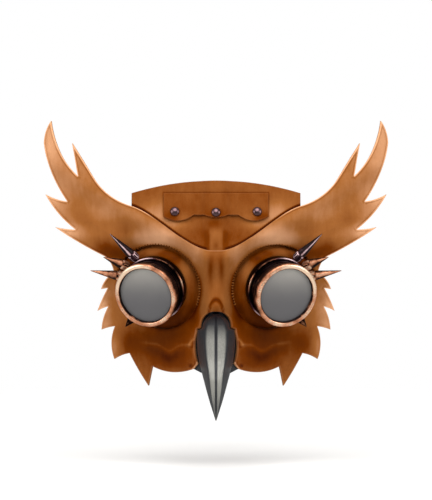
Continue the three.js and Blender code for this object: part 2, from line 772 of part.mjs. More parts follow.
// Level section of the beak with its outside set in by a wall, and its back at a given depth.
function beakSection({ z, half, front, ridge }, wall, back) {
  const edge = ridge + Math.min(BEAK_FALL.most, BEAK_FALL.share * (back - ridge)) + wall;
  const tuck = Math.min(BEAK_TUCK.most, BEAK_TUCK.share * half);
  const groove = Math.min(1, front / BEAK_GROOVE.fade);
  const rightSide = [
    [half - tuck - wall, back],
    [half - wall, lerp(back, edge, BEAK.widest)],
    [front - FRONT_WALL * wall, edge],
    [groove * BEAK_GROOVE.half, ridge + wall],
  ];
  const bottom = [0, ridge + wall + groove * BEAK_GROOVE.depth];
  const leftSide = rightSide.map(([x, y]) => [-x, y]).reverse();
  return [...rightSide, bottom, ...leftSide].map(([x, y]) => new THREE.Vector3(x, y, z)).reverse();
}

function beak() {
  const intoFlange = ({ z, half }) => behindFace(half, z) + 0.5 * FLANGE.wall;
  const outside = lofted(BEAK_SECTIONS.map((row) => beakSection(row, 0, row.back ?? intoFlange(row))));
  const hollowRows = BEAK_SECTIONS.filter(({ z }) => z < NOSE_HOLLOW.top && z > NOSE_HOLLOW.bottom);
  const hollow = lofted(hollowRows.map((row) => beakSection(row, BEAK.wall, NOSE_HOLLOW.open)));
  const corners = FLANGE_LINE.map(pointOf);
  const half = [new THREE.Vector2(0, FLANGE_LINE[0].z)];
  corners.forEach((p, i) => {
    const next = corners[i + 1] ?? new THREE.Vector2(0, FLANGE_LINE.at(-1).z);
    half.push(...stretch(p, next, 0, FLANGE.step));
  });
  half.push(new THREE.Vector2(0, FLANGE_LINE.at(-1).z));
  const flange = moulded(pattern(mirrored(half), [], FLANGE.step), behindFace, FLANGE.wall);
  return geometryOf(solid(outside).add(solid(flange)).subtract(solid(hollow)));
}

// Head strap

function headStrap() {
  const nearSide = STRAP_ROUTE.map(({ x, y, z }) => new THREE.Vector3(x, y, z));
  const farSide = nearSide.slice(0, -1).reverse();
  const route = [...nearSide, ...farSide.map((p) => new THREE.Vector3(-p.x, p.y, p.z))];
  const curve = new THREE.CatmullRomCurve3(route);
  const behindPanel = behind(panelFront, THIN_LEATHER + LAYER_GAP);
  const rows = [];
  for (const share of [0.5, 0, -0.5]) {
    const row = [];
    for (let i = 0; i <= STRAP.steps; i++) {
      const p = curve.getPointAt(i / STRAP.steps);
      p.z += share * STRAP.width;
      const onPanel = Math.abs(p.x) < PANEL.half && p.y < STRAP.leaves;
      if (onPanel) p.y = Math.max(p.y, behindPanel(p.x, p.z));
      row.push(p);
    }
    rows.push(row);
  }
  return walled(rows, THIN_LEATHER, false);
}

// Assembly

const mask = new THREE.Group();
mask.name = 'owl_mask';
mask.add(piece('face_shell', faceShell(), tanLeather));
mask.add(piece('forehead_panel', foreheadPanel(), tanLeather));
mask.add(piece('crown_tab', crownTab(), tanLeather));
mask.add(piece('head_strap', headStrap(), darkLeather));
mask.add(piece('beak', beak(), gunmetal));
for (const { name, x, z } of RIVETS) {
  const mesh = piece(`rivet_${name}`, rivet(), rivetMetal);
  mesh.position.set(x, tabFront(x, z), z);
  mesh.quaternion.setFromUnitVectors(FORWARD, backNormal(tabFront, x, z).negate());
  mask.add(mesh);
}
for (const [side, hand] of [[1, 'left'], [-1, 'right']]) {
  mask.add(piece(`socket_${hand}`, socket(side), tanLeather));
  addGoggle(mask, side, hand);
}

export default mask;
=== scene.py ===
"""Owl mask of moulded leather with spiked goggles and a hooked metal beak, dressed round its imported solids.

The tables are in millimetres, in the frame of the solids: +Z is up, the mask faces along -Y, its left is +X,
and X = 0 is the plane of symmetry. Meshes are written in metres.
"""

import math
from collections import namedtuple
from types import SimpleNamespace as Sizes

import bmesh
import bpy
import numpy as np
from bpy.props import FloatProperty, FloatVectorProperty, IntProperty, PointerProperty
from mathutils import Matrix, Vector
from mathutils.geometry import delaunay_2d_cdt


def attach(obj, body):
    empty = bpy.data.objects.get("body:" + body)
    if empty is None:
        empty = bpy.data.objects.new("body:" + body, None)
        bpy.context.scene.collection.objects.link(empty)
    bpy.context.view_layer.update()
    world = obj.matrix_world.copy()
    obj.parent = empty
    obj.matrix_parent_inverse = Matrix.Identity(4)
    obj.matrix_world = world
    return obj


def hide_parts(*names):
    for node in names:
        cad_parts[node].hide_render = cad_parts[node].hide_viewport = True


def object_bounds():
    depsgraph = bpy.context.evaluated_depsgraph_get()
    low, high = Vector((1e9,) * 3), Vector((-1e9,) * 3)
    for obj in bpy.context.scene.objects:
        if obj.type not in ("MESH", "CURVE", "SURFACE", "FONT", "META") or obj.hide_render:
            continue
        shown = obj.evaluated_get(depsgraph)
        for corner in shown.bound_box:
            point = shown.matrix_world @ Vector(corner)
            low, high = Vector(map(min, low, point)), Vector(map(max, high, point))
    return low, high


bl_info = {
    "name": "Owl mask",
    "version": (1, 0, 0),
    "blender": (4, 5, 0),
    "location": "3D View > Sidebar > Owl mask",
    "description": "Builds a moulded leather owl mask with spiked goggles and a hooked metal beak",
    "category": "Add Mesh",
}

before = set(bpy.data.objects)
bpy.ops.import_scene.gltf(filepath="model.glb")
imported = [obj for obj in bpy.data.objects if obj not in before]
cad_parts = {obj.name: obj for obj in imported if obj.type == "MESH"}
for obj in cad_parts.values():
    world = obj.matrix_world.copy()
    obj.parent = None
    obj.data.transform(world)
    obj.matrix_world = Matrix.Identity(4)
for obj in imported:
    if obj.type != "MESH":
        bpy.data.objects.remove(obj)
CAD_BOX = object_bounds()
MM = 0.001
HANDS = (("left", 1), ("right", -1))
SENSOR_WIDTH = 36

# Sizes of the solids

LEATHER = 2.6
THIN_LEATHER = 2.2
LAYER_GAP = 0.8
FIT = 0.3

BROW = Sizes(middle=33.2, rise=40.8, level=3, reach=84)
Corner = namedtuple("Corner", "name x z bow")
CUT_LINE = [
    Corner("brow end", 75.8, 72.8, -3.2),
    Corner("ear root", 107.2, 95.0, 0),
    Corner("inner ear tip", 129.8, 129.5, 0),
    Corner("ear notch", 123.9, 99.7, -5),
    Corner("outer ear tip", 149.5, 150.3, 1.6),
    Corner("ear shoulder", 156.0, 130.5, 3.5),
    Corner("ear foot", 133.9, 77.0, -1),
    Corner("upper feather", 154.3, 83.7, 2.2),
    Corner("upper notch", 126.3, 51.7, -0.5),
    Corner("temple feather", 144.9, 53.9, 1),
    Corner("temple", 99.5, 27.5, -1.9),
    Corner("waist", 91.5, 12.8, 1.9),
    Corner("first tooth", 103.2, -1.9, 0),
    Corner("first notch", 97.2, -0.9, 0.5),
    Corner("second tooth", 106.8, -21.5, -0.4),
    Corner("second notch", 97.0, -17.4, 1.3),
    Corner("third tooth", 103.2, -38.4, -0.4),
    Corner("third notch", 91.2, -35.2, 2.8),
    Corner("fourth tooth", 91.7, -64.8, -0.8),
    Corner("fourth notch", 77.8, -59.1, 0.5),
    Corner("lower tuft", 60.6, -88.3, 0),
    Corner("tuft notch", 56.9, -70.5, 4.2),
    Corner("lobe corner", 20.6, -71.9, 0),
    Corner("lobe inside", 16.4, -66.8, -1.6),
    Corner("beak side", 18.6, -42.8, 0.2),
    Corner("beak step", 17.5, -36.0, 0),
    Corner("beak shoulder", 13.8, -34.5, -3.2),
    Corner("beak top", 4.4, -21.4, -0.2),
]
BEAK_TOP_Z = -21.1

CHEEK_BEND = Sizes(z=-20, radius=118, straight=80)
BROW_BEND = Sizes(z=45, radius=165, straight=95)
LEAN = Sizes(slope=0.2, low=-40, high=45)
EAR_LEAN = Sizes(slope=0.12, start=60)
TOOTH_FLARE = Sizes(slope=0.3, start=92, full=5, none=25)
CHIN = Sizes(curve=0.0025, start=-20)
BROW_ROLL = Sizes(rise=5, wide=12, middle=22, slope=0.6)
BRIDGE = Sizes(rise=6, wide=12, low=-34, low_full=-12, high_full=26, high=46)
NOSE = Sizes(rise=8, wide=18, top=10, full=-21)
MUZZLE = Sizes(rise=12, wide=34, top=-15, full=-50)
BEAK_COLLAR = Sizes(rise=7, x=14, wide=11, top=-22, full=-44)
Mound = namedtuple("Mound", "name x z wide tall rise")
MOUNDS = [
    Mound("nose furrow", 6.8, 20, 3, 13, -1),
    Mound("cere", 0, -17, 7.5, 6, 2.6),
    Mound("cheek hollow", 55, -44, 22, 12, -4),
    Mound("lower lobe", 36, -64, 17, 12, 4.5),
]
SEAM_VALLEY = Sizes(depth=3, wide=9)
EYE = Sizes(x=54, z=-1.5, radius=39.2, drawn_in=9, towards=math.radians(-40), spread=0.9)

TILT = math.radians(28)
TILT_SIDE = 0.78
GOGGLE = Sizes(x=54.6, y=10.5, z=-0.7)
CUP = Sizes(base=28.2, base_depth=7, rim=28.9, rim_depth=1.8, barrel=26.4, bore=23.4, front=16)
CUP_TAIL = Sizes(radius=25.4, depth=6)
LENS = Sizes(radius=26.2, thickness=2, bevel=0.6)
BEZEL = Sizes(outer=29, opening=24.3, back=12.5, front=21.5)
Spike = namedtuple("Spike", "name bearing splay cone")
SPIKES = [
    Spike("upper", math.radians(95), math.radians(23), 26.4),
    Spike("mid", math.radians(74), math.radians(33), 17),
    Spike("lower", math.radians(54), math.radians(21), 22.9),
    Spike("stub", math.radians(-13), math.radians(24), 9.5),
]
SPIKE = Sizes(foot=2.8, collar=4.3, waist=3.3, cone=4.3, tip=0.3)
SPIKE_ALONG = Sizes(collar=2, collar_end=7, waist=7.5, cone=9)
SPIKE_LEVEL = -3.6
SOCKET = Sizes(lap=4.5, seam=1, shoulder=0.8, bore=25.9, dome=1.2)

Section = namedtuple("Section", "z half front ridge back", defaults=[None])
BEAK_SECTIONS = [
    Section(-22.9, 3.6, 2.2, -11),
    Section(-26.4, 8.4, 5.2, -16),
    Section(-30.5, 11.4, 7.6, -20.5),
    Section(-35.4, 12.7, 9.2, -25.5),
    Section(-37.2, 16.6, 9.6, -27.2),
    Section(-45.8, 17.3, 9.7, -34.5),
    Section(-54.6, 16.8, 9.2, -40.3),
    Section(-63.4, 15.6, 8.2, -44.6),
    Section(-72.2, 13.5, 7.0, -47.4),
    Section(-81.0, 11.0, 5.8, -48.4, -12),
    Section(-89.8, 8.4, 4.6, -48, -24.5),
    Section(-98.6, 5.7, 3.2, -46, -32.5),
    Section(-107.4, 2.7, 1.6, -43, -38),
    Section(-114.2, 0.5, 0.3, -40, -39),
]
BEAK = Sizes(wall=2.4, widest=0.4)
BEAK_FALL = Sizes(most=3.6, share=0.35)
BEAK_TUCK = Sizes(most=1.6, share=0.15)
BEAK_GROOVE = Sizes(half=0.9, depth=0.7, fade=2)
FRONT_WALL = 0.6
NOSE_HOLLOW = Sizes(top=-30, bottom=-72, open=30)
FLANGE = Sizes(wall=2, step=1.6, cell=2.2, edge=0.5)
FLANGE_LINE = [(7, -18.5), (11, -23), (17.5, -31), (23, -40), (24, -60), (20.6, -71.6), (12.6, -75.4)]

PANEL = Sizes(half=75, under=7, side_top=84, top=95, lean=0.28, fade_in=14)
PANEL_RIDGE = Sizes(rise=2.4, wide=7)
PANEL_HOLLOW = Sizes(depth=1.4, x=15, wide=7)
TAB = Sizes(half=46.4, top=84)
TAB_LOBE = Sizes(x=34, z=59.2, half=12, sweep=3.6)
TAB_MIDDLE = Sizes(z=62.4, half=12, sweep=2.4, crest=64.4)
RIVETS = {"left": (36.3, 67.2), "centre": (0, 66.5), "right": (-36.3, 67.2)}
RIVET = Sizes(head=4.2, rise=2.7, shank=1.5, hole=2.0, tail=3.1, tail_depth=1.1)

STRAP = Sizes(width=21, leaves=54)
STRAP_ROUTE = [(44, 8, 71), (58, 16, 70), (74, 52, 61), (79, 95, 53), (60, 158, 45), (0, 190, 42)]

# Finer work that only the dressed pieces have

CERE = Sizes(z=-21, half=5.8, tall=10.6, rise=1.5, crisp=0.14, groove=0.5, groove_wide=0.12)
CHEEK_CREASE = [(14, -51.4), (30.5, -51.9), (41.3, -57.2), (52.1, -51.9), (66.6, -50.2), (80, -49)]
CREASE = Sizes(bulge=1.1, lip=1.0, reach=9, inner=17, inner_full=24, outer_full=58, outer=72)
Wrinkle = namedtuple("Wrinkle", "name x z end_x end_z wide rise tone")
# The tone column is painted light on a fold: the pale line of the beak wrinkle is a painted highlight and the
# dark line beside it painted shade.
WRINKLES = [
    Wrinkle("beak wrinkle", 20.2, -45, 23.9, -50.4, 0.6, 0.6, 0.2),
    Wrinkle("beside the wrinkle", 19.6, -48, 21, -52, 1, -0.4, -0.2),
    Wrinkle("nose side", 16, -26, 21, -38, 1.4, 0.5, 0),
    Wrinkle("cheek fold", 62, -45, 78, -36, 1.8, 0.5, 0),
    Wrinkle("brow fold", 88, 44, 112, 58, 3, 0.5, 0),
]
UNEVEN = Sizes(rise=0.14, wave=23)
# The crease's tone is painted shade in the crease just inside the cut edge.
EDGE_CREASE = Sizes(inside=1.7, wide=0.5, depth=0.3, tone=-0.15)
RAW_EDGE = Sizes(full=0.36, end=1.2)
STRAP_EDGE = Sizes(start=0.9, slope=6, most=0.6)

SEWN = Sizes(outer=math.radians(20), nasal=math.radians(201), outside=0.2, steps=2000)
HAND_SEWN = Sizes(sway=0.16, slow=2.9, fast=7.3, uneven=0.14, size=4.7)
# Where the stitches beside the nose get a painted highlight.
THREAD_HIGHLIGHT = Sizes(angle=math.radians(184), spread=0.42)
STITCH_BEND = Sizes(sunk=0.9, peak=0.3)

CUP_STEP = Sizes(start=-1.6, floor=-1.1, depth=0.7)
BARREL_GROOVE = Sizes(start=5.4, floor=5.9, floor_end=7.2, end=7.7, depth=0.8)
BEZEL_STEP = Sizes(inset=0.6, land=2.4, floor=2.9, floor_end=3.5, depth=1.1, shoulder=4.1, lip=0.2)
RING = Sizes(rise=1.8, steps=13, outer=math.radians(85), inner=math.radians(125))
KNURL = Sizes(rib=0.6, sides=6, count=12, clear=0.5)
RIB_CIRCLE = SPIKE.collar - 0.5 * KNURL.rib
BEAK_ROUND = Sizes(back=0.4, flank=0.4, front=0.25, groove=0.3)

# Fineness of the meshes. CUT_STEP and FOREHEAD_MESH hold shares of a cell and of the edge rounding.

CUT_STEP = 0.7
EDGE_RINGS = (0.25, 0.6, 1.1, 1.7, 2.4)
CLEAR_OF_CUT = Sizes(ring=0.93, grid=0.55)
FOREHEAD_MESH = Sizes(cell=0.6, edge=0.85, hole=0.5)
SOCKET_MESH = Sizes(sides=180, steps=10, lap=(1, 0.6, 0.25), floor=(0.4, 0.8, 1), rim=0.3)
STITCH_MESH = Sizes(steps=7, sides=7)
SPIKE_SIDES = 36
RIVET_MESH = Sizes(sides=40, dome=9)
BEAK_MESH = Sizes(levels=110, beside=0.12, sharp=math.radians(40))
STRAP_MESH = Sizes(steps=220, run=60, across=9, flat=0.93, corner=0.7)

# Tone patches of the leather, partly its dye and partly painted light and shade: painted highlights where the
# brow, the ear tips, the feathers and the teeth face the light, and painted shade in the furrows, beside the
# seams, in the temples and under the goggles over the cheeks and lobes. Each patch says how much it is
# lighter than the hide, or darker where it is negative.
Patch = namedtuple("Patch", "name x z wide tall tone")
HIDE_TONE = 0.5
FACE_PATCHES = [
    Patch("outer ear tip", 150, 135, 14, 40, 0.26),
    Patch("inner ear tip", 127, 120, 8, 16, 0.12),
    Patch("ear middle", 128, 90, 12, 18, 0.03),
    Patch("ear root", 102, 76, 14, 12, 0.05),
    Patch("ear body", 117, 62, 12, 10, -0.12),
    Patch("upper feather", 150, 80, 14, 12, 0.28),
    Patch("temple feather", 134, 50, 14, 8, 0.37),
    Patch("brow light", 54, 43, 20, 10, 0.42),
    Patch("brow middle", 81, 50, 12, 10, -0.12),
    Patch("eye shade above", 72, 34, 16, 7, -0.16),
    Patch("temple shade", 100, 36, 9, 7, -0.22),
    Patch("temple corner", 89, 30, 12, 7, -0.26),
    Patch("bridge", 0, 14, 11, 26, -0.04),
    Patch("nose band", 0, 26, 9, 9, -0.1),
    Patch("nose furrow", 4.9, 15, 2.5, 11, -0.22),
    Patch("lower bridge", 0, -4, 9, 8, -0.1),
    Patch("cere", 0, -18, 4, 6, -0.14),
    Patch("beside the seam", 15.5, -2, 3, 14, -0.12),
    Patch("nose side", 20, 15, 6, 22, 0.04),
    Patch("bridge shoulder", 17, 32, 9, 9, 0.1),
    Patch("inner cheek", 19, -24, 6, 12, -0.36),
    Patch("cheek shade", 42, -42, 30, 13, -0.3),
    Patch("lobe shade", 38, -64, 28, 12, -0.33),
    Patch("outer cheek", 78, -50, 12, 14, -0.25),
    Patch("beak side", 23, -58, 6, 8, 0.06),
    Patch("first tooth", 102, -3, 6, 6, 0.3),
    Patch("second tooth", 103, -18, 7, 8, 0.39),
    Patch("third tooth", 100, -34, 7, 7, 0.21),
    Patch("fourth tooth", 92, -54, 6, 12, 0.16),
    Patch("lower tuft", 61, -80, 6, 10, -0.08),
    Patch("corner mark", 22.4, -68.6, 1.2, 1.2, -0.4),
]
# Panel patches: painted shade in the hollows and at the foot of the ridge, a darker spot above the ridge, and
# painted light on the far sides and below the tab's lobes.
PANEL_PATCHES = [
    Patch("ridge", 0, 57, 6, 4, -0.12),
    Patch("hollow", 16, 46, 12, 14, -0.08),
    Patch("ridge foot", 0, 37, 2, 3.5, -0.1),
    Patch("side", 52, 64, 20, 13, 0.28),
    Patch("below the lobe", 34, 55.5, 10, 3.5, 0.1),
]
# Tab patches: painted shadow round the lobes and the middle scallop, as from a hat brim over the tab, and a
# painted highlight on each lobe.
TAB_PATCHES = [
    Patch("lobe", 40, 62, 7, 6, -0.14),
    Patch("lobe light", 29, 62, 6, 4, 0.08),
    Patch("middle", 0, 64, 10, 6, -0.1),
]
# Socket patches: painted highlights on the upper lid and the nasal side, where the domed ring faces the
# light, and painted shade in the lid fold, low beside the nose, under the goggle and at the outer side.
SOCKET_PATCHES = [
    Patch("upper lid", 52, 32, 22, 7, 0.1),
    Patch("lid fold", 45, 30.5, 7, 3, -0.17),
    Patch("lid fold end", 36.5, 26, 6, 3.5, -0.17),
    Patch("nasal side", 27, 15, 7, 10, 0.2),
    Patch("lower nasal", 20, -20, 5, 6, -0.12),
    Patch("lower shade", 40, -34, 40, 16, -0.2),
    Patch("outer shade", 86, 8, 14, 30, -0.25),
]
# Painted light and shade added to the face's patches: painted shade in the seam's valley, darker still beside
# the nose, a painted highlight along the brow ridge, painted shade round the cere, and a painted highlight
# above the cheek's crease with painted shadow under it.
SEAM_SHADE = Sizes(wide=2.2, tone=-0.16, nasal=-0.3, nasal_z=-4, tall=18, inner=20, inner_end=35)
BROW_LIGHT = Sizes(below=8, wide=7, tone=0.06, start=10, full=30)
CERE_SHADE = Sizes(outside=0.02, wide=0.17, tone=-0.34)
CREASE_SHADE = Sizes(wide=1.3, light=0.1, depth=5, dark=-0.12)
# Painted light and shade of the forehead panel: a painted shadow line under the brow edge and round the tab,
# and a painted highlight on the ridge strip with painted shade beside it.
PANEL_SHADE = Sizes(brow=2.6, brow_tone=-0.6, level=6, full=13, line=1.2, tab=0.6, tab_tone=-0.2)
PANEL_STRIP = Sizes(half=5.6, soft=1, top=54, fade=7, light=0.09, beside=8.4, wide=2.6, dark=-0.1)
# Shares of the pale cut edge, which is partly raw leather and partly a painted highlight on edges that face
# the light, as on the outer brow, the beak's sides and the lobe's corner by the beak.
RAW_SHARE = Sizes(low=0.12, low_z=-70, high_z=40, eye=4, tab=0.03)
RAW_BROW = Sizes(reach=5, dark=50, light=66, middle=0.3, level=6, level_end=12)
RAW_BEAK = Sizes(half=22, top=-12, arch=0.12, side=0.5, low=-38, high=-34, corner=-65, corner_share=0.6)
PANEL_TONE = 0.36
# The tab's darker tone is partly its dye and partly a painted shadow as from a hat brim above it.
TAB_TONE = 0.33
SOCKET_TONE = 0.28
STRAP_TONE = 0.22

# Brightness shares of the metal: worn edges, and glints that are painted highlights and painted reflections
# at bearings round a turned piece. Bearings start at the side that a goggle leans to and run over its top.
Glint = namedtuple("Glint", "bearing spread share")
# Painted highlights on the top and the bottom of the cup's rim, and beside the nose a painted reflection of
# the leather, in copper.
RIM_GLINTS = [
    Glint(math.radians(112), 0.42, 1.2),
    Glint(math.radians(203), 0.24, 1.0),
    Glint(math.radians(268), 0.35, 1.0),
]
RIM_LEAST = 0.2
# Painted highlights and reflections on the bezel ring: broad over its top, narrow bands at its outer side and
# below, and one beside the nose.
BEZEL_GLINTS = [
    Glint(math.radians(90), 0.75, 1.4),
    Glint(math.radians(0), 0.18, 0.35),
    Glint(math.radians(285), 0.45, 0.4),
    Glint(math.radians(212), 0.4, 0.35),
]
BEZEL_LEAST = 0.85
# Each spike gets a painted highlight in a streak on the side facing the front of the mask, turned a little
# from it, and painted shade on the sides of its cone and collar.
SpikeGlint = namedtuple("SpikeGlint", "wear least share spread turn rib")
SPIKE_GLINTS = {
    "upper": SpikeGlint(0.8, -0.6, 1.9, 0.26, math.radians(-14), -0.1),
    "mid": SpikeGlint(0.5, -1.1, 1.6, 0.6, math.radians(10), 0.3),
    "lower": SpikeGlint(0.4, -1.1, 1.7, 0.65, math.radians(-5), 0.55),
    "stub": SpikeGlint(0.4, -0.6, 1.4, 0.8, 0, 0.3),
}
SPIKE_WEAR = Sizes(collar=-1.2, waist=-0.8, tip=1.3)
# Painted light across the bezel's ring: the shares at its outer edge and on its inner edge, which are painted
# shade, with its crest painted lightest.
RING_PAINTED_LIGHT = Sizes(outer=0.45, inner=0.1)

# Painted light of the beak: lit front panels, brightest towards the hook, painted shade in the groove and on
# the dark top where it turns up under the leather, with heights measured down from the origin
BEAK_LIGHT = Sizes(dark=22, dark_end=33, top=28, full=47, share=0.6, hook=66, hook_full=92, edge=0.72)
GROOVE_SHADE = Sizes(tone=0.8, full=55, end=75, inner=0.7, outer=2)
FRONT_MARGIN = Sizes(x=0.1, y=0.15)

# The stage, in metres. The sky's light is listed from straight below, at 0, to straight above, at 1.
FLOOR = Sizes(radius=1.6, sides=96, fade=0.2, clear=0.95)
SKY = [
    (0.0, (1.9, 1.86, 1.8)),
    (0.42, (1.4, 1.38, 1.35)),
    (0.5, (0.32, 0.32, 0.32)),
    (1.0, (1.2, 1.2, 1.2)),
]
Light = namedtuple("Light", "name place aim size power tint")
LIGHTS = [
    Light("key", (0, -1.3, 1.7), (0, 0, 0.02), 2.0, "key", (1, 0.98, 0.95)),
    Light("side left", (-1.4, -0.7, 0.45), (0, 0, 0), 1.0, "side", (1, 0.99, 0.97)),
    Light("side right", (1.4, -0.7, 0.45), (0, 0, 0), 1.0, "side", (1, 0.99, 0.97)),
    Light("back", (0, 1.5, 0.9), (0, 0, 0), 1.2, "back", (1, 0.99, 0.97)),
]


def srgb(red, green, blue):
    """A colour read as 0 to 255 values, as Blender's linear one."""
    shares = [value / 255 for value in (red, green, blue)]
    return tuple(s / 12.92 if s <= 0.04045 else ((s + 0.055) / 1.055) ** 2.4 for s in shares)


# What a user would change


def length(name, description, millimetres):
    """A length setting, given in millimetres."""
    default = millimetres * MM
    return FloatProperty(name=name, description=description, default=default, unit="LENGTH", precision=5)


def share(name, description, default):
    """A setting from 0 to 1."""
    return FloatProperty(name=name, description=description, default=default, min=0, max=1, subtype="FACTOR")


def power(name, description, watts):
    """A light's power setting."""
    return FloatProperty(name=name, description=description, default=watts, unit="POWER")


def colour(name, description, *values):
    """A colour setting, given as 0 to 255 values."""
    default = srgb(*values)
    return FloatVectorProperty(name=name, description=description, default=default, size=3, subtype="COLOR")


class OwlMaskLeather(bpy.types.PropertyGroup):
    """Sizes and colours of the hide."""

    cell: length("Mesh cell", "Distance between the points of the leather sheets", 1.7)
    edge: length("Edge rounding", "Radius of the cut edges", 0.6)
    grain: length("Grain", "Size of the leather's grain", 1.0)
    grain_depth: length("Grain depth", "Height of the grain", 0.05)
    # The darkest and lightest colours of the ramp hold painted light as well as dye: painted shade in the
    # hollows, painted highlights on the ridges and tips. The cut-edge colour is partly raw leather and partly
    # a painted highlight.
    dark: colour("Burnished_and_shaded", "Darkest dye, in the hollows", 62, 17, 0)
    brown: colour("Brown", "Dye between the hollows and the hide", 107, 47, 0)
    middle: colour("Tan", "Colour of the hide", 150, 92, 45)
    light: colour("Rubbed_and_lit", "Lightest hide, on the ridges and tips", 231, 175, 134)
    raw: colour("Cut edge", "Raw leather along the cut edges", 236, 178, 134)
    flesh: colour("Flesh side", "Suede on the inside of the mask", 158, 116, 80)


class OwlMaskSeam(bpy.types.PropertyGroup):
    """The whip stitches round the eyes."""

    pitch: length("Pitch", "Distance between two stitches", 2.4)
    thread: length("Thread", "Radius of the thread", 0.5)
    outward: length("Outward reach", "Length of a stitch on the face", 1.1)
    inward: length("Inward reach", "Length of a stitch on the socket", 1.6)
    bow: length("Bow", "Rise of a stitch where it bends over the edge", 2.3)
    dark: colour("Dark thread", "Waxed thread", 96, 50, 14)
    # The paler thread beside the nose is a painted highlight where the stitches catch the light.
    rubbed_and_lit: colour("Rubbed thread", "Thread beside the nose, where it has lost its wax", 148, 90, 43)


class OwlMaskMetal(bpy.types.PropertyGroup):
    """Colours of the metal and the lenses."""

    sides: IntProperty(name="Sides", description="Sides of the turned pieces", default=112, min=16)
    # Tarnish is patina in the recesses. The copper, the brightest copper and the shine serve both worn edges
    # and painted glints: painted highlights, and beside the nose a painted reflection of the leather.
    tarnish: colour("Tarnish", "Copper darkened in the recesses", 24, 8, 6)
    copper: colour("Copper", "Copper of the rims and spikes", 210, 140, 103)
    rubbed_and_lit: colour("Rubbed copper", "Copper polished by wear", 254, 222, 192)
    black: colour("Black", "Blackened metal of the cups", 16, 9, 11)
    soot: colour("Soot", "Recesses of the dark spikes", 24, 13, 17)
    steel: colour("Dark steel", "Upper spikes", 92, 58, 66)
    shine: colour("Shine", "Polished edges of the dark metal", 234, 204, 208)
    # The gunmetal, flank and arch colours are the beak's painted light and shade: lit front panels, shaded
    # flanks and the shaded top under the leather.
    gunmetal: colour("Gunmetal", "Brushed front of the beak", 202, 201, 192)
    flank: colour("Flank", "Dark sides of the beak", 62, 64, 67)
    arch: colour("Arch", "Darkest metal, at the top of the beak", 17, 17, 23)
    rivet: colour("Rivet", "Rivet heads", 130, 102, 106)
    # The lens colours are a painted reflection of the sky: paler at the top, darker below.
    lens_top: colour("Lens top", "Upper edge of the lenses", 182, 178, 170)
    lens_foot: colour("Lens foot", "Lower part of the lenses", 92, 91, 93)


class OwlMaskStage(bpy.types.PropertyGroup):
    """Camera, floor and lights."""

    distance: length("Camera distance", "From the camera to the origin", 2400)
    height: length("Camera height", "Above the origin", 33.4)
    seen: length("Seen height", "Height of the picture at the origin", 440)
    drop: length("Floor drop", "From the lowest point of the mask to the floor", 45)
    key: power("Key light", "Power of the light above", 47)
    side: power("Side light", "Power of each light at the sides", 9)
    back: power("Back light", "Power of the light behind", 12)
    ambient: share("Ambient", "Light from all around", 0.35)


# Curves and fields


def bell(u):
    return np.exp(-u * u)


def mix(a, b, t):
    return a + (b - a) * t


def smoothstep(value, low, high):
    t = np.clip((value - low) / (high - low), 0, 1)
    return t * t * (3 - 2 * t)


def brow_edge(x):
    """Height of the upper edge of the brows."""
    return BROW.middle + BROW.rise * smoothstep(np.abs(x), BROW.level, BROW.reach)


def eye_drawn_in(angle):
    """Share of the most by which the eye's seam is drawn in, at each angle round the eye."""
    return np.maximum(0, np.cos(EYE.spread * (angle - EYE.towards))) ** 2


def eye_radius(angle):
    return EYE.radius - EYE.drawn_in * eye_drawn_in(angle)


def round_the_eye(x, z):
    """Angle round the eye on one side and the distance outside its seam."""
    dx = np.abs(x) - EYE.x
    dz = z - EYE.z
    angle = np.arctan2(dz, dx)
    angle = np.where(angle > EYE.towards + math.pi, angle - 2 * math.pi, angle)
    return angle, np.hypot(dx, dz) - eye_radius(angle)


def moulded_depth(x, z):
    """Depth of the leather's front, where a larger value lies further back."""
    ax = np.abs(x)
    high = smoothstep(z, CHEEK_BEND.z, BROW_BEND.z)
    radius = mix(CHEEK_BEND.radius, BROW_BEND.radius, high)
    straight = mix(CHEEK_BEND.straight, BROW_BEND.straight, high)
    bent = np.minimum(ax, straight)
    y = bent * bent / (2 * radius) + (ax - bent) * straight / radius
    tooth_share = 1 - smoothstep(z, TOOTH_FLARE.full, TOOTH_FLARE.none)
    y = y - TOOTH_FLARE.slope * np.maximum(0, ax - TOOTH_FLARE.start) * tooth_share
    y = y - LEAN.slope * np.clip(z, LEAN.low, LEAN.high)
    y = y + EAR_LEAN.slope * np.maximum(0, z - EAR_LEAN.start)
    y = y + CHIN.curve * np.minimum(0, z - CHIN.start) ** 2
    y = y - BROW_ROLL.rise * bell((z - BROW_ROLL.middle - BROW_ROLL.slope * ax) / BROW_ROLL.wide)
    bridge_foot = smoothstep(z, BRIDGE.low, BRIDGE.low_full)
    bridge_head = 1 - smoothstep(z, BRIDGE.high_full, BRIDGE.high)
    y = y - BRIDGE.rise * np.exp(-((ax / BRIDGE.wide) ** 4)) * bridge_foot * bridge_head
    y = y - NOSE.rise * bell(ax / NOSE.wide) * smoothstep(-z, -NOSE.top, -NOSE.full)
    y = y - MUZZLE.rise * bell(ax / MUZZLE.wide) * smoothstep(-z, -MUZZLE.top, -MUZZLE.full)
    collar_share = smoothstep(-z, -BEAK_COLLAR.top, -BEAK_COLLAR.full)
    y = y - BEAK_COLLAR.rise * bell((ax - BEAK_COLLAR.x) / BEAK_COLLAR.wide) * collar_share
    for mound in MOUNDS:
        y = y - mound.rise * bell(np.hypot((ax - mound.x) / mound.wide, (z - mound.z) / mound.tall))
    angle, outside = round_the_eye(x, z)
    valley = SEAM_VALLEY.depth * bell(np.maximum(0, outside) / SEAM_VALLEY.wide)
    return y + valley * (1 - eye_drawn_in(angle))


DEPTH_AT_ORIGIN = float(moulded_depth(0.0, 0.0))


def face_front(x, z):
    """Depth of the face's front, whose back is at 0 at the origin."""
    return moulded_depth(x, z) - DEPTH_AT_ORIGIN - LEATHER


SLOPE_REACH = 0.4


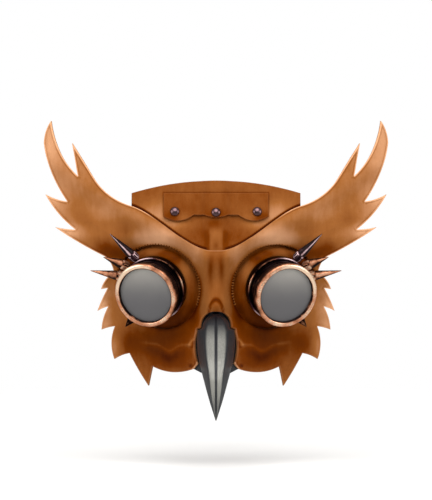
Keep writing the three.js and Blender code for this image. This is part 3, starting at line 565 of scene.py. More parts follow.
def back_normal(front, x, z):
    """Unit normals of a sheet y = front(x, z), on the side that faces back."""
    reach = SLOPE_REACH
    slope_x = (front(x + reach, z) - front(x - reach, z)) / (2 * reach)
    slope_z = (front(x, z + reach) - front(x, z - reach)) / (2 * reach)
    normal = np.stack([-slope_x, np.ones_like(slope_x), -slope_z], axis=-1)
    return normal / np.linalg.norm(normal, axis=-1, keepdims=True)


def behind(front, distance):
    """Depth of the surface that lies a given distance behind a sheet, measured square to it."""
    return lambda x, z: front(x, z) + distance / back_normal(front, x, z)[..., 1]


behind_face = behind(face_front, LEATHER + LAYER_GAP)


def panel_front(x, z):
    """Below the brow edge the panel follows the back of the leather, above it the panel leans back."""
    edge = brow_edge(x)
    above = np.maximum(0, z - edge)
    hollow = PANEL_HOLLOW.depth * bell((np.abs(x) - PANEL_HOLLOW.x) / PANEL_HOLLOW.wide)
    ridge = PANEL_RIDGE.rise * bell(x / PANEL_RIDGE.wide)
    relief = (hollow - ridge) * smoothstep(above, 0, PANEL.fade_in)
    return behind_face(x, np.minimum(z, edge)) + PANEL.lean * above + relief


tab_front = behind(panel_front, -(THIN_LEATHER + LAYER_GAP))
behind_panel = behind(panel_front, THIN_LEATHER + LAYER_GAP)


def smooth_line(at, xs, ys):
    """A curve through points that never swings past them."""
    order = np.argsort(xs)
    xs = np.asarray(xs, float)[order]
    ys = np.asarray(ys, float)[order]
    steps = np.diff(xs)
    slopes = np.diff(ys) / steps
    turns = slopes[:-1] * slopes[1:] > 0
    inner = np.where(turns, 2 * slopes[:-1] * slopes[1:] / np.where(turns, slopes[:-1] + slopes[1:], 1), 0)
    ends = np.concatenate([slopes[:1], inner, slopes[-1:]])
    i = np.clip(np.searchsorted(xs, at) - 1, 0, len(steps) - 1)
    t = np.clip((at - xs[i]) / steps[i], 0, 1)
    blend = t * t * (3 - 2 * t)
    bend = ends[i] * t * (1 - t) ** 2 - ends[i + 1] * t * t * (1 - t)
    return mix(ys[i], ys[i + 1], blend) + steps[i] * bend


def cere_distance(x, z):
    """Share of the cere's size by which a point lies outside it."""
    return np.hypot(x / CERE.half, (z - CERE.z) / CERE.tall) - 1


def cheek_crease(x, z):
    """Height above the wavy crease of the cheek, and the share of the crease that is left there."""
    ax = np.abs(x)
    starts = smoothstep(ax, CREASE.inner, CREASE.inner_full)
    ends = smoothstep(ax, CREASE.outer_full, CREASE.outer)
    return z - smooth_line(ax, *zip(*CHEEK_CREASE)), starts * (1 - ends)


def on_wrinkle(fold, x, z):
    """Share of a fold's height at each point."""
    run = np.array([fold.end_x - fold.x, fold.end_z - fold.z])
    across = np.abs(x) - fold.x
    along = np.clip((across * run[0] + (z - fold.z) * run[1]) / (run @ run), 0, 1)
    return bell(np.hypot(across - along * run[0], z - fold.z - along * run[1]) / fold.wide)


def face_relief(x, z):
    """Finer folds of the face, added to its front."""
    from_cere = cere_distance(x, z)
    y = -CERE.rise * (1 - smoothstep(from_cere, -CERE.crisp, CERE.crisp))
    y = y + CERE.groove * bell((from_cere - CERE.groove_wide) / CERE.groove_wide)
    above, span = cheek_crease(x, z)
    lip = smoothstep(above, -CREASE.lip, CREASE.lip)
    y = y - CREASE.bulge * span * lip * np.exp(-np.maximum(above, 0) / CREASE.reach)
    for fold in WRINKLES:
        y = y - fold.rise * on_wrinkle(fold, x, z)
    waves = np.sin(x / UNEVEN.wave + 2) * np.sin(z / UNEVEN.wave) + np.sin((x + 2 * z) / UNEVEN.wave)
    return y + UNEVEN.rise * waves


def face_painted_shade_and_light(x, z):
    """Painted shade in the seam's valley, darkest beside the nose, round the cere and under the cheek's
    crease; painted highlights along the brow and just above the crease; and painted light and shade along the
    wrinkles.
    """
    outside = round_the_eye(x, z)[1]
    nasal = bell((z - SEAM_SHADE.nasal_z) / SEAM_SHADE.tall)
    nasal = nasal * (1 - smoothstep(np.abs(x), SEAM_SHADE.inner, SEAM_SHADE.inner_end))
    tone = (SEAM_SHADE.tone + SEAM_SHADE.nasal * nasal) * bell(outside / SEAM_SHADE.wide)
    brow = bell((z - brow_edge(x) + BROW_LIGHT.below) / BROW_LIGHT.wide)
    tone = tone + BROW_LIGHT.tone * brow * smoothstep(np.abs(x), BROW_LIGHT.start, BROW_LIGHT.full)
    tone = tone + CERE_SHADE.tone * bell((cere_distance(x, z) - CERE_SHADE.outside) / CERE_SHADE.wide)
    above, span = cheek_crease(x, z)
    tone = tone + CREASE_SHADE.light * span * bell((above - CREASE_SHADE.wide) / CREASE_SHADE.wide)
    for fold in WRINKLES:
        tone = tone + fold.tone * on_wrinkle(fold, x, z)
    below = np.maximum(-above, 0)
    return tone + CREASE_SHADE.dark * span * bell((below - CREASE_SHADE.depth) / CREASE_SHADE.depth)


def panel_painted_shade_and_light(x, z):
    """Painted shadow along the brow edge and round the tab, and a painted highlight down the ridge strip with
    painted shade on either side of it.
    """
    ax = np.abs(x)
    below = np.maximum(tab_lower_edge(x) - z, z - TAB.top)
    from_tab = np.hypot(np.maximum(0, below), np.maximum(0, ax - TAB.half))
    above = z - brow_edge(x)
    level = smoothstep(ax, PANEL_SHADE.level, PANEL_SHADE.full)
    brow = (1 - smoothstep(above, PANEL_SHADE.line, PANEL_SHADE.brow)) * level
    tone = PANEL_SHADE.brow_tone * brow + PANEL_SHADE.tab_tone * bell(from_tab / PANEL_SHADE.tab)
    across = 1 - smoothstep(ax, PANEL_STRIP.half - PANEL_STRIP.soft, PANEL_STRIP.half + PANEL_STRIP.soft)
    beside = bell((ax - PANEL_STRIP.beside) / PANEL_STRIP.wide)
    along = 1 - smoothstep(z, PANEL_STRIP.top - PANEL_STRIP.fade, PANEL_STRIP.top)
    return tone + along * (PANEL_STRIP.light * across + PANEL_STRIP.dark * beside)


def dye_and_painted_light(patches, tone, shade=None):
    """Tone at each point, from 0, dark, to 1, light: the hide's dye together with the painted light and shade
    of the patches and of the shade function.
    """

    def at(x, z):
        ax = np.abs(x)
        total = np.full_like(ax, tone)
        for patch in patches:
            away = np.hypot((ax - patch.x) / patch.wide, (z - patch.z) / patch.tall)
            total = total + patch.tone * bell(away)
        if shade is not None:
            total = total + shade(x, z)
        return np.clip(total, 0, 1)

    return at


def face_raw_and_highlight(x, z):
    """Share of pale cut edge, partly raw leather and partly a painted highlight where edges face the light:
    none round the eyes, little over the beak.
    """
    ax = np.abs(x)
    outside = round_the_eye(x, z)[1]
    raw = mix(RAW_SHARE.low, 1, smoothstep(z, RAW_SHARE.low_z, RAW_SHARE.high_z))
    middle = RAW_BROW.middle * (1 - smoothstep(ax, RAW_BROW.level, RAW_BROW.level_end))
    on_brow = z > brow_edge(x) - RAW_BROW.reach
    raw = np.where(on_brow, raw * (smoothstep(ax, RAW_BROW.dark, RAW_BROW.light) + middle), raw)
    by_beak = (ax < RAW_BEAK.half) & (z < RAW_BEAK.top)
    arch = smoothstep(z, RAW_BEAK.low, RAW_BEAK.high)
    raw = np.where(by_beak, raw * mix(RAW_BEAK.side, RAW_BEAK.arch, arch), raw)
    raw = np.where(by_beak & (z < RAW_BEAK.corner), RAW_BEAK.corner_share, raw)
    return np.where(outside < RAW_SHARE.eye, 0, raw)


def little_raw(x, z):
    """The same small share of raw leather at each point."""
    return np.full_like(x, RAW_SHARE.tab)


# Flat patterns


def stretch(start, end, bow, step):
    """Points from one corner up to, but not including, the next along a stretch that bows to its left."""
    start = np.asarray(start, float)
    chord = np.asarray(end, float) - start
    size = np.hypot(*chord)
    left = np.array([-chord[1], chord[0]]) / size
    t = np.linspace(0, 1, max(1, math.ceil(size / step)), endpoint=False)[:, None]
    return start + t * chord + 4 * bow * t * (1 - t) * left


def through(corners, step):
    """Points along straight stretches between corners, with the last corner."""
    runs = [stretch(a, b, 0, step) for a, b in zip(corners, corners[1:])]
    return np.concatenate([*runs, [corners[-1]]])


def mirrored(half):
    """A half outline that starts and ends on X = 0, closed by its mirror image and run anticlockwise."""
    loop = np.concatenate([half, half[-2:0:-1] * (-1, 1)])
    ahead = np.roll(loop, -1, axis=0)
    area = (loop[:, 0] * ahead[:, 1] - loop[:, 1] * ahead[:, 0]).sum()
    return loop if area > 0 else loop[::-1]


def ring(x, z, radius, step):
    """A round hole, run clockwise."""
    angle = np.linspace(0, -2 * math.pi, math.ceil(2 * math.pi * radius / step), endpoint=False)
    return np.stack([x + radius * np.cos(angle), z + radius * np.sin(angle)], axis=1)


def eye_opening(side, larger, sides):
    """The eye's seam, run clockwise on the left and mirrored on the right."""
    angle = EYE.towards + math.pi - np.linspace(0, 2 * math.pi, sides, endpoint=False)
    radius = eye_radius(angle) + larger
    loop = np.stack([EYE.x + radius * np.cos(angle), EYE.z + radius * np.sin(angle)], axis=1)
    return loop if side > 0 else loop[::-1] * (-1, 1)


def face_outline(step):
    """The face's cut line, from the middle of the brow to the beak's top."""
    x = np.linspace(0, CUT_LINE[0].x, math.ceil(CUT_LINE[0].x / step), endpoint=False)
    runs = [np.stack([x, brow_edge(x)], axis=1)]
    ends = [(row.x, row.z) for row in CUT_LINE[1:]] + [(0, BEAK_TOP_Z)]
    for row, end in zip(CUT_LINE, ends):
        runs.append(stretch((row.x, row.z), end, row.bow, step))
    return mirrored(np.concatenate([*runs, [(0, BEAK_TOP_Z)]]))


def panel_outline(step):
    """The forehead panel, which starts below the brow edge."""
    x = np.linspace(0, PANEL.half, math.ceil(PANEL.half / step))
    lower = np.stack([x, brow_edge(x) - PANEL.under], axis=1)
    upper = np.stack([x, mix(PANEL.top, PANEL.side_top, (x / PANEL.half) ** 2)], axis=1)
    side = stretch(lower[-1], upper[-1], 0, step)[1:]
    return mirrored(np.concatenate([lower, side, upper[::-1]]))


def tab_lower_edge(x):
    """A lobe round each outer rivet and a scallop round the middle one."""
    lobe = TAB_LOBE.z + TAB_LOBE.sweep * ((np.abs(x) - TAB_LOBE.x) / TAB_LOBE.half) ** 2
    middle = TAB_MIDDLE.z + TAB_MIDDLE.sweep * (x / TAB_MIDDLE.half) ** 2
    return np.minimum(np.minimum(lobe, middle), TAB_MIDDLE.crest)


def tab_outline(step):
    """The crown tab above its lobes and scallop."""
    x = np.linspace(0, TAB.half, math.ceil(TAB.half / step))
    lower = np.stack([x, tab_lower_edge(x)], axis=1)
    upper = np.stack([x[::-1], np.full_like(x, TAB.top)], axis=1)
    side = stretch(lower[-1], upper[0], 0, step)[1:]
    return mirrored(np.concatenate([lower, side, upper]))


def rivet_holes(depth, step):
    """Holes where the rivets' shanks pass, at a depth behind the tab's front."""
    holes = []
    for x, z in RIVETS.values():
        slant = back_normal(tab_front, np.array(float(x)), np.array(z)) * depth
        holes.append(ring(x + slant[0], z + slant[2], RIVET.hole, step))
    return holes


CHUNK = 600
SAME_PLACE = 1e-5


def loop_ends(loops):
    """Starts and ends of all the stretches of the loops."""
    return np.concatenate(loops), np.concatenate([np.roll(loop, -1, axis=0) for loop in loops])


def cut_distance(points, loops):
    """Distance of each point from the nearest cut line."""
    starts, ends = loop_ends(loops)
    spans = ends - starts
    sizes = (spans**2).sum(axis=1)
    nearest = []
    for i in range(0, len(points), CHUNK):
        offset = points[i : i + CHUNK, None] - starts
        t = np.clip((offset * spans).sum(axis=2) / sizes, 0, 1)
        nearest.append(np.sqrt(((offset - t[..., None] * spans) ** 2).sum(axis=2)).min(axis=1))
    return np.concatenate(nearest)


def on_piece(points, loops):
    """Whether each point lies on the leather, inside the outline and outside the holes."""
    starts, ends = loop_ends(loops)
    rises = np.where(ends[:, 1] == starts[:, 1], 1, ends[:, 1] - starts[:, 1])
    found = []
    for i in range(0, len(points), CHUNK):
        x = points[i : i + CHUNK, :1]
        z = points[i : i + CHUNK, 1:]
        across = (starts[:, 1] > z) != (ends[:, 1] > z)
        cut = starts[:, 0] + (ends[:, 0] - starts[:, 0]) * (z - starts[:, 1]) / rises
        found.append((across & (x < cut)).sum(axis=1) % 2 == 1)
    return np.concatenate(found)


def inset(loop, depth):
    """The loop's points moved to their left."""
    along = np.roll(loop, -1, axis=0) - np.roll(loop, 1, axis=0)
    left = np.stack([-along[:, 1], along[:, 0]], axis=1)
    return loop + depth * left / np.linalg.norm(left, axis=1, keepdims=True)


def pattern(loops, cell):
    """Points and triangles of a pattern piece, with rings of points along its cut lines."""
    sets = [np.concatenate(loops)]
    for depth in EDGE_RINGS:
        moved = np.concatenate([inset(loop, depth) for loop in loops])
        clear = on_piece(moved, loops) & (cut_distance(moved, loops) > CLEAR_OF_CUT.ring * depth)
        sets.append(moved[clear])
    rise = cell * math.sqrt(3) / 2
    low = loops[0].min(axis=0)
    high = loops[0].max(axis=0)
    rows = np.arange(math.floor(low[1] / rise), math.ceil(high[1] / rise) + 1)
    columns = np.arange(math.floor(low[0] / cell), math.ceil(high[0] / cell) + 1)
    grid = np.stack(np.meshgrid(columns, rows), axis=-1).reshape(-1, 2).astype(float)
    grid[:, 0] = (grid[:, 0] + 0.5 * (grid[:, 1] % 2)) * cell
    grid[:, 1] *= rise
    grid = grid[on_piece(grid, loops)]
    sets.append(grid[cut_distance(grid, loops) > EDGE_RINGS[-1] + CLEAR_OF_CUT.grid * cell])
    rim = []
    start = 0
    for loop in loops:
        count = len(loop)
        rim += [(start + i, start + (i + 1) % count) for i in range(count)]
        start += count
    spread = [Vector(p) for p in np.concatenate(sets)]
    found = delaunay_2d_cdt(spread, rim, [], 0, SAME_PLACE)
    points = np.array([tuple(p) for p in found[0]])
    triangles = np.array([face for face in found[2] if len(face) == 3])
    triangles = triangles[on_piece(points[triangles].mean(axis=1), loops)]
    a, b, c = (points[triangles[:, i]] for i in range(3))
    turn = (b[:, 0] - a[:, 0]) * (c[:, 1] - a[:, 1]) - (b[:, 1] - a[:, 1]) * (c[:, 0] - a[:, 0])
    triangles[turn < 0] = triangles[turn < 0][:, ::-1]
    used, order = np.unique(triangles, return_inverse=True)
    return points[used], order.reshape(triangles.shape)


# Meshes


def mesh_object(name, vertices, faces, material, attributes=None):
    """A smooth mesh object from points in millimetres."""
    mesh = bpy.data.meshes.new(name)
    mesh.from_pydata((np.asarray(vertices) * MM).tolist(), [], [list(map(int, face)) for face in faces])
    for key, values in (attributes or {}).items():
        values = np.asarray(values, np.float32)
        kind, field = ("FLOAT_VECTOR", "vector") if values.ndim == 2 else ("FLOAT", "value")
        mesh.attributes.new(key, kind, "POINT").data.foreach_set(field, values.ravel())
    mesh.polygons.foreach_set("use_smooth", [True] * len(mesh.polygons))
    mesh.materials.append(material)
    mesh.update()
    made = bpy.data.objects.new(name, mesh)
    bpy.context.scene.collection.objects.link(made)
    return made


DOUBLES = 1e-6


def tidy_normals(made):
    """Merges doubles and turns the faces of a closed piece outwards."""
    work = bmesh.new()
    work.from_mesh(made.data)
    bmesh.ops.remove_doubles(work, verts=work.verts, dist=DOUBLES)
    bmesh.ops.dissolve_degenerate(work, edges=work.edges, dist=DOUBLES)
    bmesh.ops.recalc_face_normals(work, faces=work.faces)
    work.to_mesh(made.data)
    work.free()
    made.data.update()


def place_piece(made, slot, *nodes):
    """Rides on the mask's only body, and stands for the solids that it dresses."""
    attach(made, "root")
    if nodes:
        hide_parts(*nodes)


def leather_shell(name, loops, cell, rounding, front, wall, tone, raw, material, relief=None):
    """A pattern piece moulded to y = front(x, z), with rounded cut edges and a crease inside them."""
    points, triangles = pattern(loops, cell)
    count = len(points)
    x, z = points.T
    edge = cut_distance(points, loops)
    inside = np.minimum(edge, rounding)
    fall = rounding - np.sqrt(rounding**2 - (rounding - inside) ** 2)
    normal = back_normal(front, x, z)
    surface = np.stack([x, front(x, z), z], axis=1)
    shown = raw(x, z)
    crease = shown * bell((edge - EDGE_CREASE.inside) / EDGE_CREASE.wide)
    outer = surface + normal * (fall + EDGE_CREASE.depth * crease)[:, None]
    if relief is not None:
        outer[:, 1] += relief(x, z)
    inner = surface + normal * (wall - fall)[:, None]
    halves = np.concatenate([triangles[:, [0, 1]], triangles[:, [1, 2]], triangles[:, [2, 0]]])
    known = {(int(a), int(b)) for a, b in halves}
    rim = [(a, b) for a, b in known if (b, a) not in known]
    faces = [tuple(t) for t in triangles]
    faces += [(c + count, b + count, a + count) for a, b, c in triangles]
    faces += [(b, a, a + count, b + count) for a, b in sorted(rim)]
    attributes = {
        # The crease's tone is painted shade in the crease inside a pale cut edge, and the edge share is that
        # pale edge, partly raw leather and partly painted highlight.
        "tone": np.tile(tone(x, z) + EDGE_CREASE.tone * crease, 2),
        "edge": np.tile(shown * (1 - smoothstep(edge, RAW_EDGE.full, RAW_EDGE.end)), 2),
        "flesh": np.repeat([0.0, 1.0], count),
    }
    return mesh_object(name, np.concatenate([outer, inner]), faces, material, attributes)


def closed_grid(name, rows, material, attributes=None, capped=False):
    """A tube of quads. Each row is a closed ring of points, and the rows join in a loop or end in caps."""
    rows = np.asarray(rows)
    count, around = rows.shape[:2]
    spans = count - 1 if capped else count
    faces = []
    for k in range(spans):
        for i in range(around):
            ahead = (k + 1) % count
            beside = (i + 1) % around
            faces.append((k * around + i, k * around + beside, ahead * around + beside, ahead * around + i))
    if capped:
        faces.append(tuple(range(around))[::-1])
        faces.append(tuple(range((count - 1) * around, count * around)))
    made = mesh_object(name, rows.reshape(-1, 3), faces, material, attributes)
    tidy_normals(made)
    return made


CORNER_STEPS = 5
CORNER_MOST = 0.45


def rounded(corners, closed):
    """A profile with rounded corners. A corner is its place, the reach of its rounding and other columns."""
    corners = np.asarray(corners, float)
    count = len(corners)
    points = []
    for i, corner in enumerate(corners):
        at, reach = corner[:2], corner[2]
        if reach == 0 or (not closed and i in (0, count - 1)):
            points.append(np.delete(corner, 2))
            continue
        legs = []
        for other in (corners[i - 1][:2], corners[(i + 1) % count][:2]):
            span = other - at
            size = np.hypot(*span)
            legs.append(at + span * min(reach, CORNER_MOST * size) / size)
        for t in np.linspace(0, 1, CORNER_STEPS):
            place = (1 - t) ** 2 * legs[0] + 2 * t * (1 - t) * at + t * t * legs[1]
            points.append(np.concatenate([place, corner[3:]]))
    return np.array(points)


Axis = namedtuple("Axis", "foot along right up")
STEEP = 0.9


def axis_through(foot, along):
    """An axis with two directions square to it."""
    along = np.asarray(along, float) / np.linalg.norm(along)
    right = np.cross(along, (0, 0, 1) if abs(along[2]) < STEEP else (1, 0, 0))
    right /= np.linalg.norm(right)
    return Axis(np.asarray(foot, float), along, right, np.cross(right, along))


def glint_share_round(angle, glints, least):
    """Share at each bearing: the least share, and what each glint adds to it; the glints are painted
    highlights and painted reflections.
    """
    total = np.full_like(angle, least)
    for glint in glints:
        apart = np.angle(np.exp(1j * (angle - glint.bearing)))
        total = total + glint.share * bell(apart / glint.spread)
    return total


def turned(name, corners, axis, sides, material, closed, glints=(), least=1):
    """A piece turned on a lathe. Each corner is radius, distance along the axis, rounding and a brightness
    share for worn edges and painted highlights, which the glints multiply.
    """
    profile = rounded(corners, closed)
    angle = np.linspace(0, 2 * math.pi, sides, endpoint=False)
    spoke = np.cos(angle)[:, None] * axis.right + np.sin(angle)[:, None] * axis.up
    rows = axis.foot + profile[:, 1, None, None] * axis.along + profile[:, 0, None, None] * spoke
    turning = np.stack(
        [
            np.repeat(profile[:, 0], sides),
            np.repeat(profile[:, 1], sides),
            np.tile(np.cos(angle), len(profile)),
        ],
        axis=1,
    )
    wear = np.outer(profile[:, 2], glint_share_round(angle, glints, least)).ravel()
    attributes = {"turning": turning, "wear": wear}
    return closed_grid(name, rows, material, attributes, capped=not closed)


# Node trees


class Socket:
    """A socket in a node tree. Arithmetic on it adds Math nodes."""

    def __init__(self, nodes, socket):
        self.nodes = nodes
        self.socket = socket

    def math(self, operation, first, second):
        return self.nodes.add("ShaderNodeMath", {"operation": operation}, {0: first, 1: second})

    def __add__(self, other):
        return self.math("ADD", self, other)

    def __radd__(self, other):
        return self.math("ADD", other, self)

    def __sub__(self, other):
        return self.math("SUBTRACT", self, other)

    def __rsub__(self, other):
        return self.math("SUBTRACT", other, self)

    def __mul__(self, other):
        return self.math("MULTIPLY", self, other)

    def __rmul__(self, other):
        return self.math("MULTIPLY", other, self)

    def __pow__(self, other):
        return self.math("POWER", self, other)

    def __rpow__(self, other):
        return self.math("POWER", other, self)


class Nodes:
    """Adds nodes to a tree."""

    def __init__(self, tree):
        self.tree = tree

    def add(self, kind, settings=None, sockets=None, output=0):
        """A node of a kind, with its settings and the values or links of its sockets."""
        node = self.tree.nodes.new(kind)
        for name, value in (settings or {}).items():
            if name == "stops":
                ramp = node.color_ramp.elements
                while len(ramp) < len(value):
                    ramp.new(0.5)
                for element, (position, stop) in zip(ramp, value):
                    element.position = position
                    element.color = (*stop, 1)
            else:
                setattr(node, name, value)
        for key, value in (sockets or {}).items():
            if isinstance(value, Socket):
                self.tree.links.new(value.socket, node.inputs[key])
            else:
                node.inputs[key].default_value = value
        return Socket(self, node.outputs[output]) if len(node.outputs) else None

    def attribute(self, name, output="Fac"):
        return self.add("ShaderNodeAttribute", {"attribute_name": name}, output=output)

    def named(self, name, kind="FLOAT_VECTOR"):
        """A geometry's own attribute."""
        settings = {"data_type": kind}
        return self.add("GeometryNodeInputNamedAttribute", settings, {"Name": name}, "Attribute")

    def noise(self, place, scale, detail, rough=0.5):
        sockets = {"Vector": place, "Scale": scale, "Detail": detail, "Roughness": rough}
        return self.add("ShaderNodeTexNoise", None, sockets, "Fac")

    def mixed(self, factor, first, second):
        """A colour between two colours."""
        pair = [c if isinstance(c, Socket) else (*c, 1) for c in (first, second)]
        return self.add("ShaderNodeMix", {"data_type": "RGBA"}, {0: factor, 6: pair[0], 7: pair[1]}, 2)

    def scaled(self, vector, factors):
        return self.add("ShaderNodeVectorMath", {"operation": "MULTIPLY"}, {0: vector, 1: factors})

    def bump(self, height, distance, strength=1.0):
        sockets = {"Height": height, "Distance": distance, "Strength": strength}
        return self.add("ShaderNodeBump", None, sockets)


def finish(name, constants, surface):
    """A material whose varying sockets come from a function of its nodes."""
    material = bpy.data.materials.get(name)
    if material is not None:
        return material
    material = bpy.data.materials.new(name)
    material.use_nodes = True
    tree = material.node_tree
    shader = next(node for node in tree.nodes if node.type == "BSDF_PRINCIPLED")
    for key, value in constants.items():
        shader.inputs[key].default_value = value
    for key, value in surface(Nodes(tree)).items():
        tree.links.new(value.socket, shader.inputs[key])
    return material


def leather_finish(leather):
    """Vegetable-tanned hide: dye carrying painted light and shade from the tone attribute, pores, pale cut
    edges that are partly painted highlight, and a suede inside.
    """

    def surface(nodes):
        place = nodes.add("ShaderNodeTexCoord", output="Object")
        edge = nodes.attribute("edge")
        flesh = nodes.attribute("flesh")
        cloud = nodes.noise(place, 38, detail=5, rough=0.6)
        streak = nodes.noise(nodes.scaled(place, (1, 1, 0.25)), 190, detail=4, rough=0.6)
        fine = nodes.noise(place, 1400, detail=3, rough=0.6)
        tone = nodes.attribute("tone") + (cloud - 0.5) * 0.22 + (streak - 0.5) * 0.12 + (fine - 0.5) * 0.08
        stops = [(0.0, leather.dark), (0.25, leather.brown), (0.5, leather.middle), (1.0, leather.light)]
        dyed = nodes.add("ShaderNodeValToRGB", {"stops": stops}, {0: tone}, "Color")
        hide = nodes.mixed(edge * 0.85, dyed, leather.raw)
        suede = nodes.mixed(fine * 0.4 + cloud * 0.5 - 0.15, leather.flesh, leather.dark)
        colour = nodes.mixed(flesh, hide, suede)
        cells = nodes.add(
            "ShaderNodeTexVoronoi",
            {"feature": "SMOOTH_F1"},
            {"Vector": place, "Scale": 1 / leather.grain, "Randomness": 1.0, "Smoothness": 0.6},
            "Distance",
        )
        height = cells * 0.7 + fine * 0.5 + streak * 0.4
        roughness = 0.46 + (cloud - 0.5) * 0.25 + (fine - 0.5) * 0.2 + flesh * 0.35
        return {
            "Base Color": colour,
            "Roughness": roughness,
            "Normal": nodes.bump(height, leather.grain_depth * 2, 0.5),
        }

    gloss = {"Specular IOR Level": 0.05, "Specular Tint": (1, 0.6, 0.3, 1)}
    return finish("tan leather", gloss, surface)


def thread_finish(seam):
    """Waxed thread, painted paler beside the nose where the stitches catch the light."""

    def surface(nodes):
        place = nodes.add("ShaderNodeTexCoord", output="Object")
        fibre = nodes.noise(place, 2600, detail=2)
        rubbed_and_lit = nodes.attribute("tone") * (0.6 + fibre * 0.6)
        return {
            "Base Color": nodes.mixed(rubbed_and_lit, seam.dark, seam.rubbed_and_lit),
            "Roughness": 0.6 + fibre * 0.3,
            "Normal": nodes.bump(fibre, 0.00012),
        }

    return finish("waxed thread", {"Specular IOR Level": 0.02}, surface)


def turned_finish(name, colours, worn, rough, metallic):
    """Turned metal, dark with tarnish in the recesses and bright on worn edges and under painted glints, the
    painted highlights and reflections.
    """

    def surface(nodes):
        place = nodes.add("ShaderNodeTexCoord", output="Object")
        turning = nodes.attribute("turning", "Vector")
        wear = nodes.attribute("wear")
        rings = nodes.noise(nodes.scaled(turning, (3.5, 3.5, 0.8)), 1, detail=3, rough=0.6)
        cloud = nodes.noise(place, 130, detail=4, rough=0.6)
        spots = nodes.noise(place, 900, detail=3, rough=0.6)
        bright = wear * 0.8 + worn + (cloud - 0.5) * 1.5 + (rings - 0.5) * 0.35
        clear = nodes.add("ShaderNodeClamp", None, {0: bright})
        stops = list(zip((0.0, 0.5, 1.0), colours))
        return {
            "Base Color": nodes.add("ShaderNodeValToRGB", {"stops": stops}, {0: clear}, "Color"),
            "Roughness": rough - clear * 0.2 + (spots - 0.5) * 0.16 + (rings - 0.5) * 0.12,
            "Normal": nodes.bump(rings * 0.6 + spots * 0.4, 0.00006, 0.7),
        }

    return finish(name, {"Metallic": metallic, "Specular IOR Level": 0.15}, surface)


def blackened_finish(metal):
    """Blackened metal, lighter only under the glints: painted highlights in shine, and beside the nose a
    painted reflection of the leather in copper.
    """

    def surface(nodes):
        place = nodes.add("ShaderNodeTexCoord", output="Object")
        turning = nodes.attribute("turning", "Vector")
        wear = nodes.attribute("wear")
        rings = nodes.noise(nodes.scaled(turning, (4, 4, 1.2)), 1, detail=3, rough=0.6)
        cloud = nodes.noise(place, 210, detail=4, rough=0.6)
        bright = wear * 1.2 + (cloud - 0.72) * 0.8 + (rings - 0.5) * 0.3
        rubbed_and_lit = nodes.add("ShaderNodeClamp", None, {0: bright})
        # Beside the nose the rim turns to copper, a painted reflection of the leather.
        bearing = nodes.add("ShaderNodeSeparateXYZ", None, {0: turning}, "Z")
        nasal = nodes.add("ShaderNodeMapRange", None, {"Value": bearing, "From Min": -0.7, "From Max": -0.88})
        edges = []
        for middle, light in ((metal.steel, metal.shine), (metal.copper, metal.rubbed_and_lit)):
            stops = [(0.0, metal.black), (0.5, middle), (1.0, light)]
            edges.append(nodes.add("ShaderNodeValToRGB", {"stops": stops}, {0: rubbed_and_lit}, "Color"))
        return {
            "Base Color": nodes.mixed(nasal, *edges),
            "Roughness": 0.3 + (cloud - 0.5) * 0.2 + (rings - 0.5) * 0.15,
            "Normal": nodes.bump(rings, 0.00008, 0.7),
        }

    return finish("blackened metal", {"Metallic": 1.0}, surface)


def gunmetal_finish(metal):
    """Brushed metal whose colour holds painted light: front panels painted light where they face the light,
    flanks painted darker and the top darkest.
    """

    def surface(nodes):
        place = nodes.add("ShaderNodeTexCoord", output="Object")
        bright = nodes.attribute("bright")
        brushed = nodes.noise(nodes.scaled(place, (1, 0.6, 0.035)), 1500, detail=4, rough=0.65)
        cloud = nodes.noise(nodes.scaled(place, (1, 1, 0.3)), 90, detail=4, rough=0.6)
        stops = [(0.0, metal.arch), (0.5, metal.flank), (1.0, metal.gunmetal)]
        ground = nodes.add("ShaderNodeValToRGB", {"stops": stops}, {0: bright * 0.5 + 0.5}, "Color")
        return {
            "Base Color": nodes.mixed(brushed * 0.7 + cloud * 0.3 - 0.2, ground, metal.arch),
            "Roughness": 0.36 + (brushed - 0.5) * 0.3 + (cloud - 0.5) * 0.2,
            "Normal": nodes.bump(brushed, 0.00008, 0.6),
        }

    return finish("brushed gunmetal", {"Metallic": 0.3, "Specular IOR Level": 0.25}, surface)


def rivet_finish(metal):
    """Mottled metal of the rivets."""

    def surface(nodes):
        place = nodes.add("ShaderNodeTexCoord", output="Object")
        cloud = nodes.noise(place, 420, detail=4, rough=0.6)
        dark = tuple(0.3 * c for c in metal.rivet)
        return {
            "Base Color": nodes.mixed(cloud, dark, metal.rivet),
            "Roughness": 0.2 + cloud * 0.2,
            "Normal": nodes.bump(cloud, 0.00005, 0.5),
        }

    return finish("rivet metal", {"Metallic": 1.0}, surface)


def lens_finish(metal):
    """Smoked glass with a painted reflection of the sky, paler towards the top."""

    def surface(nodes):
        place = nodes.add("ShaderNodeTexCoord", output="Object")
        height = nodes.add("ShaderNodeSeparateXYZ", None, {0: place}, "Z")
        haze = nodes.noise(place, 45, detail=2)
        hazy = height + (haze - 0.5) * 0.006
        rise = nodes.add("ShaderNodeMapRange", None, {"Value": hazy, "From Min": -0.02, "From Max": 0.022})
        dust = nodes.noise(place, 2200, detail=2)
        return {
            "Base Color": nodes.mixed(rise**2.4, metal.lens_foot, metal.lens_top),
            "Roughness": 0.3 + dust * 0.12,
        }

    gloss = {"Specular IOR Level": 0.25, "Coat Weight": 0.08, "Coat Roughness": 0.12}
    return finish("smoked glass", gloss, surface)


# Geometry node trees


